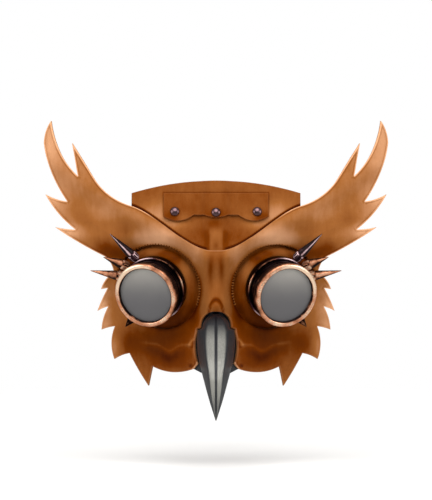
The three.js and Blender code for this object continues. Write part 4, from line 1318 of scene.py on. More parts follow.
def geometry_tree(name, inputs):
    """An empty tree with named inputs, and the identifier of each."""
    tree = bpy.data.node_groups.new(name, "GeometryNodeTree")
    tree.interface.new_socket("Geometry", in_out="INPUT", socket_type="NodeSocketGeometry")
    keys = {}
    for label, kind in inputs.items():
        keys[label] = tree.interface.new_socket(label, in_out="INPUT", socket_type=kind).identifier
    tree.interface.new_socket("Geometry", in_out="OUTPUT", socket_type="NodeSocketGeometry")
    nodes = Nodes(tree)
    entry = tree.nodes.new("NodeGroupInput")
    given = {socket.name: Socket(nodes, socket) for socket in entry.outputs if socket.name}
    return nodes, given, keys


def grow(made, tree, keys, values):
    """Runs a geometry tree on an object and keeps its result as a plain mesh."""
    modifier = made.modifiers.new(tree.name, "NODES")
    modifier.node_group = tree
    for label, value in values.items():
        modifier[keys[label]] = value
    graph = bpy.context.evaluated_depsgraph_get()
    grown = bpy.data.meshes.new_from_object(made.evaluated_get(graph))
    made.modifiers.remove(modifier)
    made.data = grown


def swept(nodes, path, sides, radius):
    """A round bar along a path."""
    section = nodes.add("GeometryNodeCurvePrimitiveCircle", None, {"Resolution": sides, "Radius": radius})
    return nodes.add("GeometryNodeCurveToMesh", None, {0: path, 1: section, "Fill Caps": True})


def thread_tree():
    """Bent threads on points that carry their own directions."""
    sizes = {key: "NodeSocketFloat" for key in ("Outward", "Inward", "Bow", "Drop", "Thread")}
    nodes, given, keys = geometry_tree("whip stitches", {**sizes, "Material": "NodeSocketMaterial"})
    sunk = given["Thread"] * -STITCH_BEND.sunk
    start = nodes.add("ShaderNodeCombineXYZ", None, {0: given["Outward"] * -1.0, 2: sunk})
    middle = nodes.add("ShaderNodeCombineXYZ", None, {0: given["Inward"] * STITCH_BEND.peak, 2: given["Bow"]})
    end = nodes.add("ShaderNodeCombineXYZ", None, {0: given["Inward"], 2: given["Drop"] * -1.0})
    bend = nodes.add(
        "GeometryNodeCurveQuadraticBezier",
        None,
        {"Resolution": STITCH_MESH.steps, "Start": start, "Middle": middle, "End": end},
    )
    stitch = swept(nodes, bend, STITCH_MESH.sides, given["Thread"])
    turn = nodes.add(
        "FunctionNodeAxesToRotation",
        {"primary_axis": "Z", "secondary_axis": "X"},
        {0: nodes.named("up"), 1: nodes.named("across")},
    )
    size = nodes.named("size", "FLOAT")
    placed = nodes.add(
        "GeometryNodeInstanceOnPoints",
        None,
        {"Points": given["Geometry"], "Instance": stitch, "Rotation": turn, "Scale": size},
    )
    end_tree(nodes, placed, given["Material"])
    return nodes.tree, keys


def rib_tree():
    """Ribs round a knurled collar, joined to the piece that they stand on."""
    sizes = {key: "NodeSocketFloat" for key in ("Radius", "Rib", "From", "To", "Wear")}
    inputs = {"Count": "NodeSocketInt", **sizes, "Foot": "NodeSocketVector", "Along": "NodeSocketVector"}
    nodes, given, keys = geometry_tree("collar ribs", {**inputs, "Material": "NodeSocketMaterial"})
    low = nodes.add("ShaderNodeCombineXYZ", None, {2: given["From"]})
    high = nodes.add("ShaderNodeCombineXYZ", None, {2: given["To"]})
    line = nodes.add("GeometryNodeCurvePrimitiveLine", None, {"Start": low, "End": high})
    rib = swept(nodes, line, KNURL.sides, given["Rib"])
    worn = nodes.add(
        "GeometryNodeStoreNamedAttribute",
        {"data_type": "FLOAT", "domain": "POINT"},
        {"Geometry": rib, "Name": "wear", "Value": given["Wear"]},
    )
    round_collar = {"Vertices": given["Count"], "Radius": given["Radius"]}
    circle = nodes.add("GeometryNodeMeshCircle", None, round_collar)
    around = nodes.add("GeometryNodeInstanceOnPoints", None, {"Points": circle, "Instance": worn})
    turn = nodes.add("FunctionNodeAlignRotationToVector", {"axis": "Z"}, {"Vector": given["Along"]})
    moved = nodes.add(
        "GeometryNodeTransform", None, {"Geometry": around, "Translation": given["Foot"], "Rotation": turn}
    )
    joined = nodes.add("GeometryNodeJoinGeometry", None, {0: moved})
    nodes.tree.links.new(given["Geometry"].socket, joined.socket.node.inputs[0])
    end_tree(nodes, joined, given["Material"])
    return nodes.tree, keys


def end_tree(nodes, geometry, material):
    """Makes the instances real and smooth, and gives them a material."""
    real = nodes.add("GeometryNodeRealizeInstances", None, {0: geometry})
    smooth = nodes.add("GeometryNodeSetShadeSmooth", None, {0: real})
    dressed = nodes.add("GeometryNodeSetMaterial", None, {0: smooth, "Material": material})
    nodes.add("NodeGroupOutput", None, {0: dressed})


# Pieces


class MaskOperator(bpy.types.Operator):
    """Shared options of the operators."""

    bl_options = {"REGISTER", "UNDO"}


class OWLMASK_OT_face_shell(MaskOperator):
    """Moulded leather face with ear tufts, feather teeth and eye openings"""

    bl_idname = "owl_mask.face_shell"
    bl_label = "Face shell"

    def execute(self, context):
        leather = context.scene.owl_mask_leather
        step = CUT_STEP * leather.cell / MM
        sides = math.ceil(2 * math.pi * EYE.radius / step)
        loops = [face_outline(step), *(eye_opening(side, 0, sides) for _, side in HANDS)]
        made = leather_shell(
            "face_shell_hide",
            loops,
            leather.cell / MM,
            leather.edge / MM,
            face_front,
            LEATHER,
            dye_and_painted_light(FACE_PATCHES, HIDE_TONE, face_painted_shade_and_light),
            face_raw_and_highlight,
            leather_finish(leather),
            face_relief,
        )
        place_piece(made, "tan_leather", "face_shell")
        return {"FINISHED"}


class OWLMASK_OT_forehead(MaskOperator):
    """Forehead panel behind the brow edge, and the crown tab riveted to it"""

    bl_idname = "owl_mask.forehead"
    bl_label = "Forehead"

    def execute(self, context):
        leather = context.scene.owl_mask_leather
        cell = FOREHEAD_MESH.cell * leather.cell / MM
        rounding = FOREHEAD_MESH.edge * leather.edge / MM
        material = leather_finish(leather)
        layer = THIN_LEATHER + LAYER_GAP
        panel_tone = dye_and_painted_light(PANEL_PATCHES, PANEL_TONE, panel_painted_shade_and_light)
        sheets = [
            ("forehead_panel", panel_outline(cell), layer, panel_front, panel_tone),
            ("crown_tab", tab_outline(cell), 0, tab_front, dye_and_painted_light(TAB_PATCHES, TAB_TONE)),
        ]
        for node, outline, depth, front, tone in sheets:
            loops = [outline, *rivet_holes(depth, FOREHEAD_MESH.hole * cell)]
            made = leather_shell(
                f"{node}_hide", loops, cell, rounding, front, THIN_LEATHER, tone, little_raw, material
            )
            place_piece(made, "tan_leather", node)
        return {"FINISHED"}


def goggle_axis(side):
    """Axis of one goggle. Its right is the side that the goggle leans to."""
    lean = math.sin(TILT)
    level = math.cos(TILT)
    down = -math.sqrt(1 - TILT_SIDE**2)
    along = np.array([side * lean * TILT_SIDE, -level, lean * down])
    outermost = np.array([side * level * TILT_SIDE, lean, level * down])
    quarter = np.array([-side * down, 0, TILT_SIDE])
    return Axis(np.array([side * GOGGLE.x, GOGGLE.y, GOGGLE.z]), along, outermost, quarter)


def socket_rows(sides):
    """Rings of front points of the left socket, from its lap behind the face to its bore."""
    axis = goggle_axis(1)
    seat = axis.foot - axis.along * (CUP.base_depth + FIT)

    def on_face(larger):
        x, z = eye_opening(1, larger, sides).T
        return np.stack([x, behind_face(x, z), z], axis=1)

    def under_cup(radius):
        spoke = seam - seat
        spoke = spoke - (spoke @ axis.along)[:, None] * axis.along
        return seat + radius * spoke / np.linalg.norm(spoke, axis=1, keepdims=True)

    seam = on_face(-SOCKET.seam)
    shoulder = under_cup(CUP.base + SOCKET.shoulder)
    rows = [on_face(t * SOCKET.lap) for t in SOCKET_MESH.lap]
    for t in np.linspace(0, 1, SOCKET_MESH.steps):
        rise = SOCKET.dome * math.sin(math.pi * t)
        rows.append(mix(seam, shoulder, t) + rise * axis.along)
    rows += [under_cup(mix(CUP.base + SOCKET.shoulder, SOCKET.bore, t)) for t in SOCKET_MESH.floor]
    return np.array(rows)


class OWLMASK_OT_sockets(MaskOperator):
    """Leather rings sewn behind the eye openings, which carry the goggles"""

    bl_idname = "owl_mask.sockets"
    bl_label = "Sockets"

    def execute(self, context):
        leather = context.scene.owl_mask_leather
        front = socket_rows(SOCKET_MESH.sides)
        along = np.roll(front, -1, axis=1) - np.roll(front, 1, axis=1)
        over = np.gradient(front, axis=0)
        back = np.cross(along, over)
        back /= np.linalg.norm(back, axis=2, keepdims=True)
        rim = SOCKET_MESH.rim * THIN_LEATHER
        outer = front.copy()
        outer[[0, -1]] += rim * back[[0, -1]]
        inner = front + THIN_LEATHER * back
        inner[[0, -1]] -= rim * back[[0, -1]]
        rows = np.concatenate([outer, inner[::-1]])
        tone = dye_and_painted_light(SOCKET_PATCHES, SOCKET_TONE)(rows[..., 0], rows[..., 2])
        flesh = np.repeat([0.0, 1.0], len(front) * front.shape[1])
        for hand, side in HANDS:
            attributes = {"tone": tone.ravel(), "edge": np.zeros(flesh.size), "flesh": flesh}
            placed = rows * (side, 1, 1)
            made = closed_grid(f"socket_{hand}_hide", placed, leather_finish(leather), attributes)
            place_piece(made, "tan_leather", f"socket_{hand}")
        return {"FINISHED"}


def sewn_places(side, pitch):
    """Evenly spaced places on the sewn part of one eye's seam, and their angles round the eye."""
    dense = eye_opening(side, SEWN.outside, SEWN.steps)
    runs = np.linalg.norm(np.roll(dense, -1, axis=0) - dense, axis=1)
    travelled = np.concatenate([[0], np.cumsum(runs)[:-1]])
    count = round(runs.sum() / pitch)
    picked = np.searchsorted(travelled, np.arange(count) * runs.sum() / count)
    x, z = dense[picked % len(dense)].T
    angle = np.mod(round_the_eye(x, z)[0], 2 * math.pi)
    sewn = (angle > SEWN.outer) & (angle < SEWN.nasal)
    return x[sewn], z[sewn], angle[sewn]


class OWLMASK_OT_seam_stitches(MaskOperator):
    """Whip stitches that join the face to the sockets"""

    bl_idname = "owl_mask.seam_stitches"
    bl_label = "Seam stitches"

    def execute(self, context):
        seam = context.scene.owl_mask_seam
        tree, keys = thread_tree()
        for hand, side in HANDS:
            x, z, angle = sewn_places(side, seam.pitch / MM)
            count = len(x)
            up = -back_normal(face_front, x, z)
            inward = np.stack([side * EYE.x - x, np.zeros(count), EYE.z - z], axis=1)
            across = inward - (inward * up).sum(axis=1)[:, None] * up
            across /= np.linalg.norm(across, axis=1, keepdims=True)
            order = np.arange(count)
            waves = np.sin(HAND_SEWN.slow * order) + np.sin(HAND_SEWN.fast * order + 1)
            sway = HAND_SEWN.sway * waves[:, None]
            across = np.cos(sway) * across + np.sin(sway) * np.cross(up, across)
            points = np.stack([x, face_front(x, z), z], axis=1)
            # A painted highlight on the stitches beside the nose.
            rubbed_and_lit = bell((angle - THREAD_HIGHLIGHT.angle) / THREAD_HIGHLIGHT.spread)
            size = 1 + HAND_SEWN.uneven * np.sin(HAND_SEWN.size * order)
            attributes = {"across": across, "up": up, "tone": rubbed_and_lit, "size": size}
            thread = thread_finish(seam)
            made = mesh_object(f"seam_stitches_{hand}", points, [], thread, attributes)
            sizes = {
                "Outward": seam.outward,
                "Inward": seam.inward,
                "Bow": seam.bow,
                "Drop": (LEATHER + LAYER_GAP) * MM,
                "Thread": seam.thread,
                "Material": thread,
            }
            grow(made, tree, keys, sizes)
            place_piece(made, "strap_leather")
        return {"FINISHED"}


# Profiles of the turned pieces. Each corner is radius, distance along the axis, rounding and a brightness
# share for worn edges and painted highlights.


def cup_profile():
    tail = -CUP.base_depth - CUP_TAIL.depth
    return [
        (CUP.bore, tail, 0.4, 0),
        (CUP_TAIL.radius, tail, 0.4, 0),
        (CUP_TAIL.radius, -CUP.base_depth, 0.1, 0),
        (CUP.base, -CUP.base_depth, 0.7, 0.1),
        (CUP.base, CUP_STEP.start, 0.3, 0.05),
        (CUP.base - CUP_STEP.depth, CUP_STEP.floor, 0.2, 0),
        (CUP.base - CUP_STEP.depth, 0, 0.1, 0),
        (CUP.rim, 0, 0.6, 0.6),
        (CUP.rim, CUP.rim_depth, 0.8, 0.7),
        (CUP.barrel, CUP.rim_depth, 0.3, 0),
        (CUP.barrel, BARREL_GROOVE.start, 0.3, 0.1),
        (CUP.barrel - BARREL_GROOVE.depth, BARREL_GROOVE.floor, 0.2, 0),
        (CUP.barrel - BARREL_GROOVE.depth, BARREL_GROOVE.floor_end, 0.2, 0),
        (CUP.barrel, BARREL_GROOVE.end, 0.3, 0.12),
        (CUP.barrel, CUP.front, 0.4, 0),
        (CUP.bore, CUP.front, 0.3, 0),
    ]


def bezel_profile():
    sleeve = CUP.barrel + FIT
    lip = CUP.front + LENS.thickness + 2 * FIT
    ring_front = []
    # The ring's front is painted lightest over its crest, a painted highlight, and darker at its outer edge
    # and on its inner edge, painted shade on the inner wall.
    for angle in np.linspace(0, math.pi, RING.steps):
        radius = mix(BEZEL.opening, BEZEL.outer, 0.5 + 0.5 * math.cos(angle))
        rise = RING.rise * (math.sin(angle) - 1)
        wear = mix(RING_PAINTED_LIGHT.outer, 1, smoothstep(angle, 0, RING.outer))
        if angle >= RING.inner:
            wear = RING_PAINTED_LIGHT.inner
        ring_front.append((radius, BEZEL.front + rise, 0, wear))
    return [
        (sleeve, BEZEL.back, 0.2, 0),
        (BEZEL.outer - BEZEL_STEP.inset, BEZEL.back, 0.5, 0.1),
        (BEZEL.outer - BEZEL_STEP.inset, BEZEL.back + BEZEL_STEP.land, 0.3, 0.1),
        (BEZEL.outer - BEZEL_STEP.depth, BEZEL.back + BEZEL_STEP.floor, 0.2, 0),
        (BEZEL.outer - BEZEL_STEP.depth, BEZEL.back + BEZEL_STEP.floor_end, 0.2, 0),
        (BEZEL.outer - BEZEL_STEP.lip, BEZEL.back + BEZEL_STEP.shoulder, 0.4, 0.2),
        *ring_front,
        (BEZEL.opening, lip, 0.1, 0),
        (sleeve, lip, 0.1, 0),
    ]


def lens_profile():
    back = CUP.front + FIT
    face = back + LENS.thickness
    return [
        (0, back, 0, 0),
        (LENS.radius, back, 0.2, 0),
        (LENS.radius, face - LENS.bevel, 0.2, 0),
        (LENS.radius - LENS.bevel, face, 0.2, 0),
        (0, face, 0, 0),
    ]


class OWLMASK_OT_goggles(MaskOperator):
    """Cups, screw bezels and lenses"""

    bl_idname = "owl_mask.goggles"
    bl_label = "Goggles"

    def execute(self, context):
        metal = context.scene.owl_mask_metal
        colours = (metal.tarnish, metal.copper, metal.rubbed_and_lit)
        copper = turned_finish("turned copper", colours, worn=-0.2, rough=0.42, metallic=0.6)
        pieces = [
            ("cup", cup_profile(), blackened_finish(metal), "blackened_metal", True, RIM_GLINTS, RIM_LEAST),
            ("bezel", bezel_profile(), copper, "copper", True, BEZEL_GLINTS, BEZEL_LEAST),
            ("lens", lens_profile(), lens_finish(metal), "lens", False, (), 1),
        ]
        for hand, side in HANDS:
            axis = goggle_axis(side)
            for part, corners, material, slot, closed, glints, least in pieces:
                node = f"goggle_{part}_{hand}"
                made = turned(f"{node}_turned", corners, axis, metal.sides, material, closed, glints, least)
                place_piece(made, slot, node)
        return {"FINISHED"}


def spike_axis(row, side):
    """Axis of a spike, from its seat on the side of the cup."""
    cup = goggle_axis(side)
    radial = math.cos(row.bearing) * cup.right + math.sin(row.bearing) * cup.up
    seat = CUP.base + FIT + SPIKE.foot * math.sin(row.splay)
    foot = cup.foot + seat * radial + SPIKE_LEVEL * cup.along
    return axis_through(foot, math.cos(row.splay) * radial + math.sin(row.splay) * cup.along)


def spike_profile(tip, wear):
    return [
        (0, 0, 0, 0),
        (SPIKE.foot, 0, 0.2, 0),
        (RIB_CIRCLE, SPIKE_ALONG.collar, 0.4, SPIKE_WEAR.collar),
        (RIB_CIRCLE, SPIKE_ALONG.collar_end, 0.4, SPIKE_WEAR.collar),
        (SPIKE.waist, SPIKE_ALONG.waist, 0.3, SPIKE_WEAR.waist),
        (SPIKE.cone, SPIKE_ALONG.cone, 0.4, wear),
        (SPIKE.tip, tip - SPIKE.tip, 0.1, SPIKE_WEAR.tip * wear),
        (0, tip, 0, SPIKE_WEAR.tip * wear),
    ]


class OWLMASK_OT_spikes(MaskOperator):
    """Cone spikes with knurled collars"""

    bl_idname = "owl_mask.spikes"
    bl_label = "Spikes"

    def execute(self, context):
        metal = context.scene.owl_mask_metal
        coppers = (metal.tarnish, metal.copper, metal.rubbed_and_lit)
        steels = (metal.soot, metal.steel, metal.shine)
        copper = turned_finish("spike copper", coppers, worn=0.28, rough=0.5, metallic=0.45)
        dark = turned_finish("darkened copper", coppers, worn=-0.2, rough=0.42, metallic=1.0)
        steel = turned_finish("dark steel", steels, worn=0.28, rough=0.28, metallic=0.35)
        finishes = {"upper": steel, "stub": dark}
        tree, keys = rib_tree()
        for hand, side in HANDS:
            for row in SPIKES:
                axis = spike_axis(row, side)
                spike_glint = SPIKE_GLINTS[row.name]
                # A painted highlight streak on the side that faces the front of the mask.
                forward = math.atan2(-axis.up[1], -axis.right[1])
                front = Glint(forward + side * spike_glint.turn, spike_glint.spread, spike_glint.share)
                material = finishes.get(row.name, copper)
                node = f"spike_{row.name}_{hand}"
                name = f"{node}_turned"
                corners = spike_profile(SPIKE_ALONG.cone + row.cone, spike_glint.wear)
                made = turned(name, corners, axis, SPIKE_SIDES, material, False, [front], spike_glint.least)
                sizes = {
                    "Count": KNURL.count,
                    "Radius": RIB_CIRCLE * MM,
                    "Rib": KNURL.rib * MM,
                    "From": (SPIKE_ALONG.collar + KNURL.clear) * MM,
                    "To": (SPIKE_ALONG.collar_end - KNURL.clear) * MM,
                    "Wear": spike_glint.rib,
                    "Foot": (axis.foot * MM).tolist(),
                    "Along": axis.along.tolist(),
                    "Material": material,
                }
                grow(made, tree, keys, sizes)
                place_piece(made, "copper", node)
        return {"FINISHED"}


def rivet_profile():
    stack = 2 * THIN_LEATHER + LAYER_GAP + 2 * FIT
    dome = []
    for angle in np.linspace(0, 0.5 * math.pi, RIVET_MESH.dome, endpoint=False):
        dome.append((RIVET.head * math.cos(angle), FIT + RIVET.rise * math.sin(angle), 0, 0))
    return [
        (0, -stack - RIVET.tail_depth, 0, 0),
        (RIVET.tail, -stack - RIVET.tail_depth, 0.5, 0),
        (RIVET.tail, -stack, 0.2, 0),
        (RIVET.shank, -stack, 0, 0),
        (RIVET.shank, FIT, 0, 0),
        *dome,
        (0, FIT + RIVET.rise, 0, 0),
    ]


class OWLMASK_OT_rivets(MaskOperator):
    """Domed rivets through the crown tab"""

    bl_idname = "owl_mask.rivets"
    bl_label = "Rivets"

    def execute(self, context):
        metal = context.scene.owl_mask_metal
        for name, (x, z) in RIVETS.items():
            at = np.array(float(x)), np.array(z)
            foot = np.array([x, float(tab_front(*at)), z])
            axis = axis_through(foot, -back_normal(tab_front, *at))
            material = rivet_finish(metal)
            made = turned(f"rivet_{name}_turned", rivet_profile(), axis, RIVET_MESH.sides, material, False)
            place_piece(made, "rivet_metal", f"rivet_{name}")
        return {"FINISHED"}


def beak_sizes(z):
    """Half width, front half width, ridge and back of the beak at each height."""
    heights = [row.z for row in BEAK_SECTIONS]
    half = smooth_line(z, heights, [row.half for row in BEAK_SECTIONS])
    front = smooth_line(z, heights, [row.front for row in BEAK_SECTIONS])
    ridge = smooth_line(z, heights, [row.ridge for row in BEAK_SECTIONS])
    ends = [row for row in BEAK_SECTIONS if row.back is not None]
    joint = BEAK_SECTIONS[-len(ends) - 1]
    flange = float(behind_face(np.array(joint.half), np.array(joint.z))) + 0.5 * FLANGE.wall
    tail = smooth_line(z, [joint.z, *(row.z for row in ends)], [flange, *(row.back for row in ends)])
    back = np.where(z >= joint.z, behind_face(half, z) + 0.5 * FLANGE.wall, tail)
    return half, front, ridge, back


def beak_rows(heights, wall, open_back):
    """Level sections of the beak, with the outside set in by a wall."""
    rows = []
    for z, half, front, ridge, back in zip(heights, *beak_sizes(heights)):
        if open_back is not None:
            back = open_back
        edge = ridge + min(BEAK_FALL.most, BEAK_FALL.share * (back - ridge)) + wall
        tuck = min(BEAK_TUCK.most, BEAK_TUCK.share * half)
        groove = min(1, front / BEAK_GROOVE.fade)
        crease = groove * BEAK_GROOVE.half
        corner = front - FRONT_WALL * wall
        beside = BEAK_MESH.beside
        side = [
            (half - tuck - wall, back, BEAK_ROUND.back),
            (half - wall, mix(back, edge, BEAK.widest), BEAK_ROUND.flank * (back - edge)),
            (corner, edge, BEAK_ROUND.front * front),
            (mix(crease, corner, beside), mix(ridge + wall, edge, beside), 0),
            (crease, ridge + wall, BEAK_ROUND.groove * crease),
        ]
        bottom = (0, ridge + wall + groove * BEAK_GROOVE.depth, BEAK_ROUND.groove * crease)
        mirror = [(-x, y, reach) for x, y, reach in side]
        outline = rounded([*side, bottom, *mirror[::-1]], True)
        rows.append(np.column_stack([outline, np.full(len(outline), z)]))
    return rows


def combine(made, tool, operation):
    """Joins or cuts one closed piece with another, which is then removed."""
    modifier = made.modifiers.new(operation, "BOOLEAN")
    modifier.operation = operation
    modifier.solver = "EXACT"
    modifier.object = tool
    graph = bpy.context.evaluated_depsgraph_get()
    result = bpy.data.meshes.new_from_object(made.evaluated_get(graph))
    made.modifiers.remove(modifier)
    made.data = result
    bpy.data.objects.remove(tool)


def beak_painted_light(places):
    """Brightness of the beak, all painted light: lit panels in front, brightest towards the hook, painted
    shade in the groove between them and on the dark top.
    """
    x, y, z = places.T
    ax = np.abs(x)
    front, ridge, back = beak_sizes(np.clip(z, BEAK_SECTIONS[-1].z, BEAK_SECTIONS[0].z))[1:]
    edge = ridge + np.minimum(BEAK_FALL.most, BEAK_FALL.share * (back - ridge))
    on_front = (y < edge + FRONT_MARGIN.y) & (ax < front + FRONT_MARGIN.x)
    groove = np.minimum(1, front / BEAK_GROOVE.fade) * BEAK_GROOVE.half
    panel = smoothstep(ax, GROOVE_SHADE.inner * groove, GROOVE_SHADE.outer * groove)
    panel = panel * (1 - smoothstep(ax, BEAK_LIGHT.edge * front, front))
    painted_light = mix(BEAK_LIGHT.share, 1, smoothstep(-z, BEAK_LIGHT.hook, BEAK_LIGHT.hook_full))
    painted_light = painted_light * panel * smoothstep(-z, BEAK_LIGHT.top, BEAK_LIGHT.full)
    painted_groove_shade = GROOVE_SHADE.tone * bell(x / groove) * (1 - smoothstep(-z, GROOVE_SHADE.full, GROOVE_SHADE.end))
    return np.where(on_front, painted_light - painted_groove_shade, 0) + smoothstep(-z, BEAK_LIGHT.dark, BEAK_LIGHT.dark_end) - 1


class OWLMASK_OT_beak(MaskOperator):
    """Hooked beak, hollow behind, with its flange behind the leather"""

    bl_idname = "owl_mask.beak"
    bl_label = "Beak"

    def execute(self, context):
        metal = context.scene.owl_mask_metal
        material = gunmetal_finish(metal)
        heights = np.linspace(BEAK_SECTIONS[0].z, BEAK_SECTIONS[-1].z, BEAK_MESH.levels)
        made = closed_grid("beak_brushed", beak_rows(heights, 0, None), material, capped=True)
        half = through([(0, FLANGE_LINE[0][1]), *FLANGE_LINE, (0, FLANGE_LINE[-1][1])], FLANGE.step)
        flange = leather_shell(
            "beak_flange",
            [mirrored(half)],
            FLANGE.cell,
            FLANGE.edge,
            behind_face,
            FLANGE.wall,
            dye_and_painted_light([], 0),
            little_raw,
            material,
        )
        inside = heights[(heights > NOSE_HOLLOW.bottom) & (heights < NOSE_HOLLOW.top)]
        hollow_rows = beak_rows(inside, BEAK.wall, NOSE_HOLLOW.open)
        hollow = closed_grid("beak_hollow", hollow_rows, material, capped=True)
        combine(made, flange, "UNION")
        combine(made, hollow, "DIFFERENCE")
        mesh = made.data
        bright = beak_painted_light(np.array([vertex.co for vertex in mesh.vertices]) / MM)
        for old in list(mesh.attributes):
            if old.name in ("tone", "edge", "flesh"):
                mesh.attributes.remove(old)
        mesh.attributes.new("bright", "FLOAT", "POINT").data.foreach_set("value", bright.astype(np.float32))
        mesh.polygons.foreach_set("use_smooth", [True] * len(mesh.polygons))
        mesh.set_sharp_from_angle(angle=BEAK_MESH.sharp)
        place_piece(made, "gunmetal", "beak")
        return {"FINISHED"}


def strap_line(steps):
    """Middle of the strap, evenly stepped along a centripetal curve through its route."""
    near = np.array(STRAP_ROUTE, float)
    route = np.concatenate([near, near[-2::-1] * (-1, 1, 1)])
    route = np.concatenate([[2 * route[0] - route[1]], route, [2 * route[-1] - route[-2]]])
    knots = np.concatenate([[0], np.cumsum(np.linalg.norm(np.diff(route, axis=0), axis=1) ** 0.5)])
    dense = []
    for i in range(1, len(route) - 2):
        t = np.linspace(knots[i], knots[i + 1], STRAP_MESH.run, endpoint=False)[:, None]
        p = route[i - 1 : i + 3]
        k = knots[i - 1 : i + 3]
        a = [p[j] + (p[j + 1] - p[j]) * (t - k[j]) / (k[j + 1] - k[j]) for j in range(3)]
        b = [a[j] + (a[j + 1] - a[j]) * (t - k[j]) / (k[j + 2] - k[j]) for j in range(2)]
        dense.append(b[0] + (b[1] - b[0]) * (t - k[1]) / (k[2] - k[1]))
    dense = np.concatenate([*dense, [route[-2]]])
    travelled = np.concatenate([[0], np.cumsum(np.linalg.norm(np.diff(dense, axis=0), axis=1))])
    even = np.linspace(0, travelled[-1], steps)
    return np.stack([np.interp(even, travelled, dense[:, i]) for i in range(3)], axis=1)


def strap_section():
    """Outline across the strap: height from its middle, and depth behind its outer side."""
    half = 0.5 * STRAP.width
    corners = [(half, 0), (half, THIN_LEATHER), (-half, THIN_LEATHER), (-half, 0)]
    edges = rounded([(*corner, STRAP_MESH.corner) for corner in corners], True)
    upper, lower = np.split(edges, [2 * CORNER_STEPS])
    fill = np.linspace(-STRAP_MESH.flat, STRAP_MESH.flat, STRAP_MESH.across) * half
    inside = np.stack([fill[::-1], np.full_like(fill, THIN_LEATHER)], axis=1)
    outside = np.stack([fill, np.zeros_like(fill)], axis=1)
    return np.concatenate([upper, inside, lower, outside])


class OWLMASK_OT_head_strap(MaskOperator):
    """Plain leather band from behind the panel round the back of the head"""

    bl_idname = "owl_mask.head_strap"
    bl_label = "Head strap"

    def execute(self, context):
        leather = context.scene.owl_mask_leather
        line = strap_line(STRAP_MESH.steps)
        section = strap_section()
        along = np.gradient(line, axis=0)
        back = np.cross(along, (0, 0, -1))
        back /= np.linalg.norm(back, axis=1, keepdims=True)
        rows = line[:, None] + section[None, :, 0, None] * (0, 0, 1)
        x, y, z = np.moveaxis(rows, 2, 0)
        on_panel = (np.abs(x) < PANEL.half) & (y < STRAP.leaves)
        rows[..., 1] = np.where(on_panel, np.maximum(y, behind_panel(x, z)), y)
        rows = rows + section[None, :, 1, None] * back[:, None]
        count = rows.shape[0] * rows.shape[1]
        sides = np.tile(np.abs(section[:, 0]) / (0.5 * STRAP.width), rows.shape[0])
        attributes = {
            "tone": np.full(count, STRAP_TONE),
            "edge": np.clip((sides - STRAP_EDGE.start) * STRAP_EDGE.slope, 0, STRAP_EDGE.most),
            "flesh": np.tile((section[:, 1] > 0.5 * THIN_LEATHER).astype(float), rows.shape[0]),
        }
        made = closed_grid("head_strap_band", rows, leather_finish(leather), attributes, capped=True)
        place_piece(made, "strap_leather", "head_strap")
        return {"FINISHED"}


# Stage


def area_light(row, watts):
    """A round light, aimed as its row says."""
    light = bpy.data.lights.new(row.name, "AREA")
    light.shape = "DISK"
    light.size = row.size
    light.energy = watts
    light.color = row.tint
    made = bpy.data.objects.new(row.name, light)
    made.location = row.place
    made.rotation_euler = (Vector(row.aim) - Vector(row.place)).to_track_quat("-Z", "Y").to_euler()
    bpy.context.scene.collection.objects.link(made)


def pale_world(strength):
    """White to the camera. Its light is brightest from below, dim at eye level and softer from above."""
    world = bpy.data.worlds.new("pale studio")
    world.use_nodes = True
    tree = world.node_tree
    tree.nodes.clear()
    nodes = Nodes(tree)
    direction = nodes.add("ShaderNodeTexCoord", output="Generated")
    height = nodes.add("ShaderNodeSeparateXYZ", None, {0: direction}, "Z")
    sky = nodes.add("ShaderNodeValToRGB", {"stops": SKY}, {0: height * 0.5 + 0.5}, "Color")
    lit = nodes.add("ShaderNodeBackground", None, {"Color": sky, "Strength": strength})
    seen = nodes.add("ShaderNodeBackground", None, {"Color": (1, 1, 1, 1), "Strength": 1.0})
    camera_ray = nodes.add("ShaderNodeLightPath", output="Is Camera Ray")
    both = nodes.add("ShaderNodeMixShader", None, {0: camera_ray, 1: lit, 2: seen})
    nodes.add("ShaderNodeOutputWorld", None, {"Surface": both})
    bpy.context.scene.world = world


def pale_floor():
    """A white floor that fades into the background."""
    material = bpy.data.materials.new("pale floor")
    material.use_nodes = True
    tree = material.node_tree
    tree.nodes.clear()
    nodes = Nodes(tree)
    place = nodes.add("ShaderNodeTexCoord", output="Object")
    reach = nodes.add("ShaderNodeVectorMath", {"operation": "LENGTH"}, {0: place}, "Value")
    span = {"From Min": FLOOR.fade * FLOOR.radius, "From Max": FLOOR.clear * FLOOR.radius}
    fade = nodes.add("ShaderNodeMapRange", {"interpolation_type": "SMOOTHSTEP"}, {"Value": reach, **span})
    white = nodes.add("ShaderNodeBsdfDiffuse", None, {"Color": (0.9, 0.9, 0.9, 1)})
    clear = nodes.add("ShaderNodeBsdfTransparent")
    both = nodes.add("ShaderNodeMixShader", None, {0: fade, 1: white, 2: clear})
    nodes.add("ShaderNodeOutputMaterial", None, {"Surface": both})
    return material


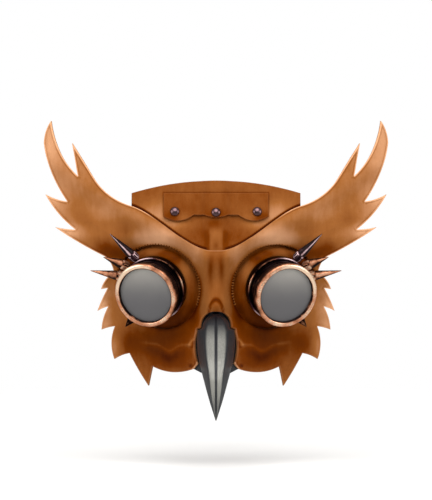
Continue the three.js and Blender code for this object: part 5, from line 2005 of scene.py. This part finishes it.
class OWLMASK_OT_stage(MaskOperator):
    """Camera in front, pale floor and soft studio light"""

    bl_idname = "owl_mask.stage"
    bl_label = "Stage"

    def execute(self, context):
        stage = context.scene.owl_mask_stage
        camera = bpy.data.cameras.new("camera")
        camera.sensor_width = SENSOR_WIDTH
        camera.lens = camera.sensor_width * stage.distance / stage.seen
        view = bpy.data.objects.new("camera", camera)
        view.location = (0, -stage.distance, stage.height)
        view.rotation_euler = (math.pi / 2, 0, 0)
        context.scene.collection.objects.link(view)
        context.scene.camera = view
        context.scene.view_settings.view_transform = "Standard"
        pale_world(stage.ambient)
        for row in LIGHTS:
            area_light(row, getattr(stage, row.power))
        angle = np.linspace(0, 2 * math.pi, FLOOR.sides, endpoint=False)
        level = np.full_like(angle, CAD_BOX[0].z - stage.drop)
        rim = np.stack([FLOOR.radius * np.cos(angle), FLOOR.radius * np.sin(angle), level], axis=1)
        floor = mesh_object("floor", rim / MM, [tuple(range(FLOOR.sides))], pale_floor())
        floor.visible_glossy = False
        return {"FINISHED"}


# Panel and registration

STEPS = (
    OWLMASK_OT_stage,
    OWLMASK_OT_face_shell,
    OWLMASK_OT_forehead,
    OWLMASK_OT_sockets,
    OWLMASK_OT_seam_stitches,
    OWLMASK_OT_goggles,
    OWLMASK_OT_spikes,
    OWLMASK_OT_rivets,
    OWLMASK_OT_beak,
    OWLMASK_OT_head_strap,
)
SETTINGS = {
    "owl_mask_leather": OwlMaskLeather,
    "owl_mask_seam": OwlMaskSeam,
    "owl_mask_metal": OwlMaskMetal,
    "owl_mask_stage": OwlMaskStage,
}


class OWLMASK_PT_builder(bpy.types.Panel):
    """Lists the settings and the steps"""

    bl_idname = "OWLMASK_PT_builder"
    bl_label = "Owl mask"
    bl_space_type = "VIEW_3D"
    bl_region_type = "UI"
    bl_category = "Owl mask"

    def draw(self, context):
        for key, group in SETTINGS.items():
            box = self.layout.box()
            for name in group.__annotations__:
                box.prop(getattr(context.scene, key), name)
        for step in STEPS:
            self.layout.operator(step.bl_idname)


CLASSES = (*SETTINGS.values(), *STEPS, OWLMASK_PT_builder)


def register():
    for made in CLASSES:
        bpy.utils.register_class(made)
    for key, group in SETTINGS.items():
        setattr(bpy.types.Scene, key, PointerProperty(type=group))


def unregister():
    for key in SETTINGS:
        delattr(bpy.types.Scene, key)
    for made in reversed(CLASSES):
        bpy.utils.unregister_class(made)


def main():
    register()
    for step in STEPS:
        name = step.bl_idname.split(".")[1]
        getattr(bpy.ops.owl_mask, name)()


if __name__ == "__main__":
    main()
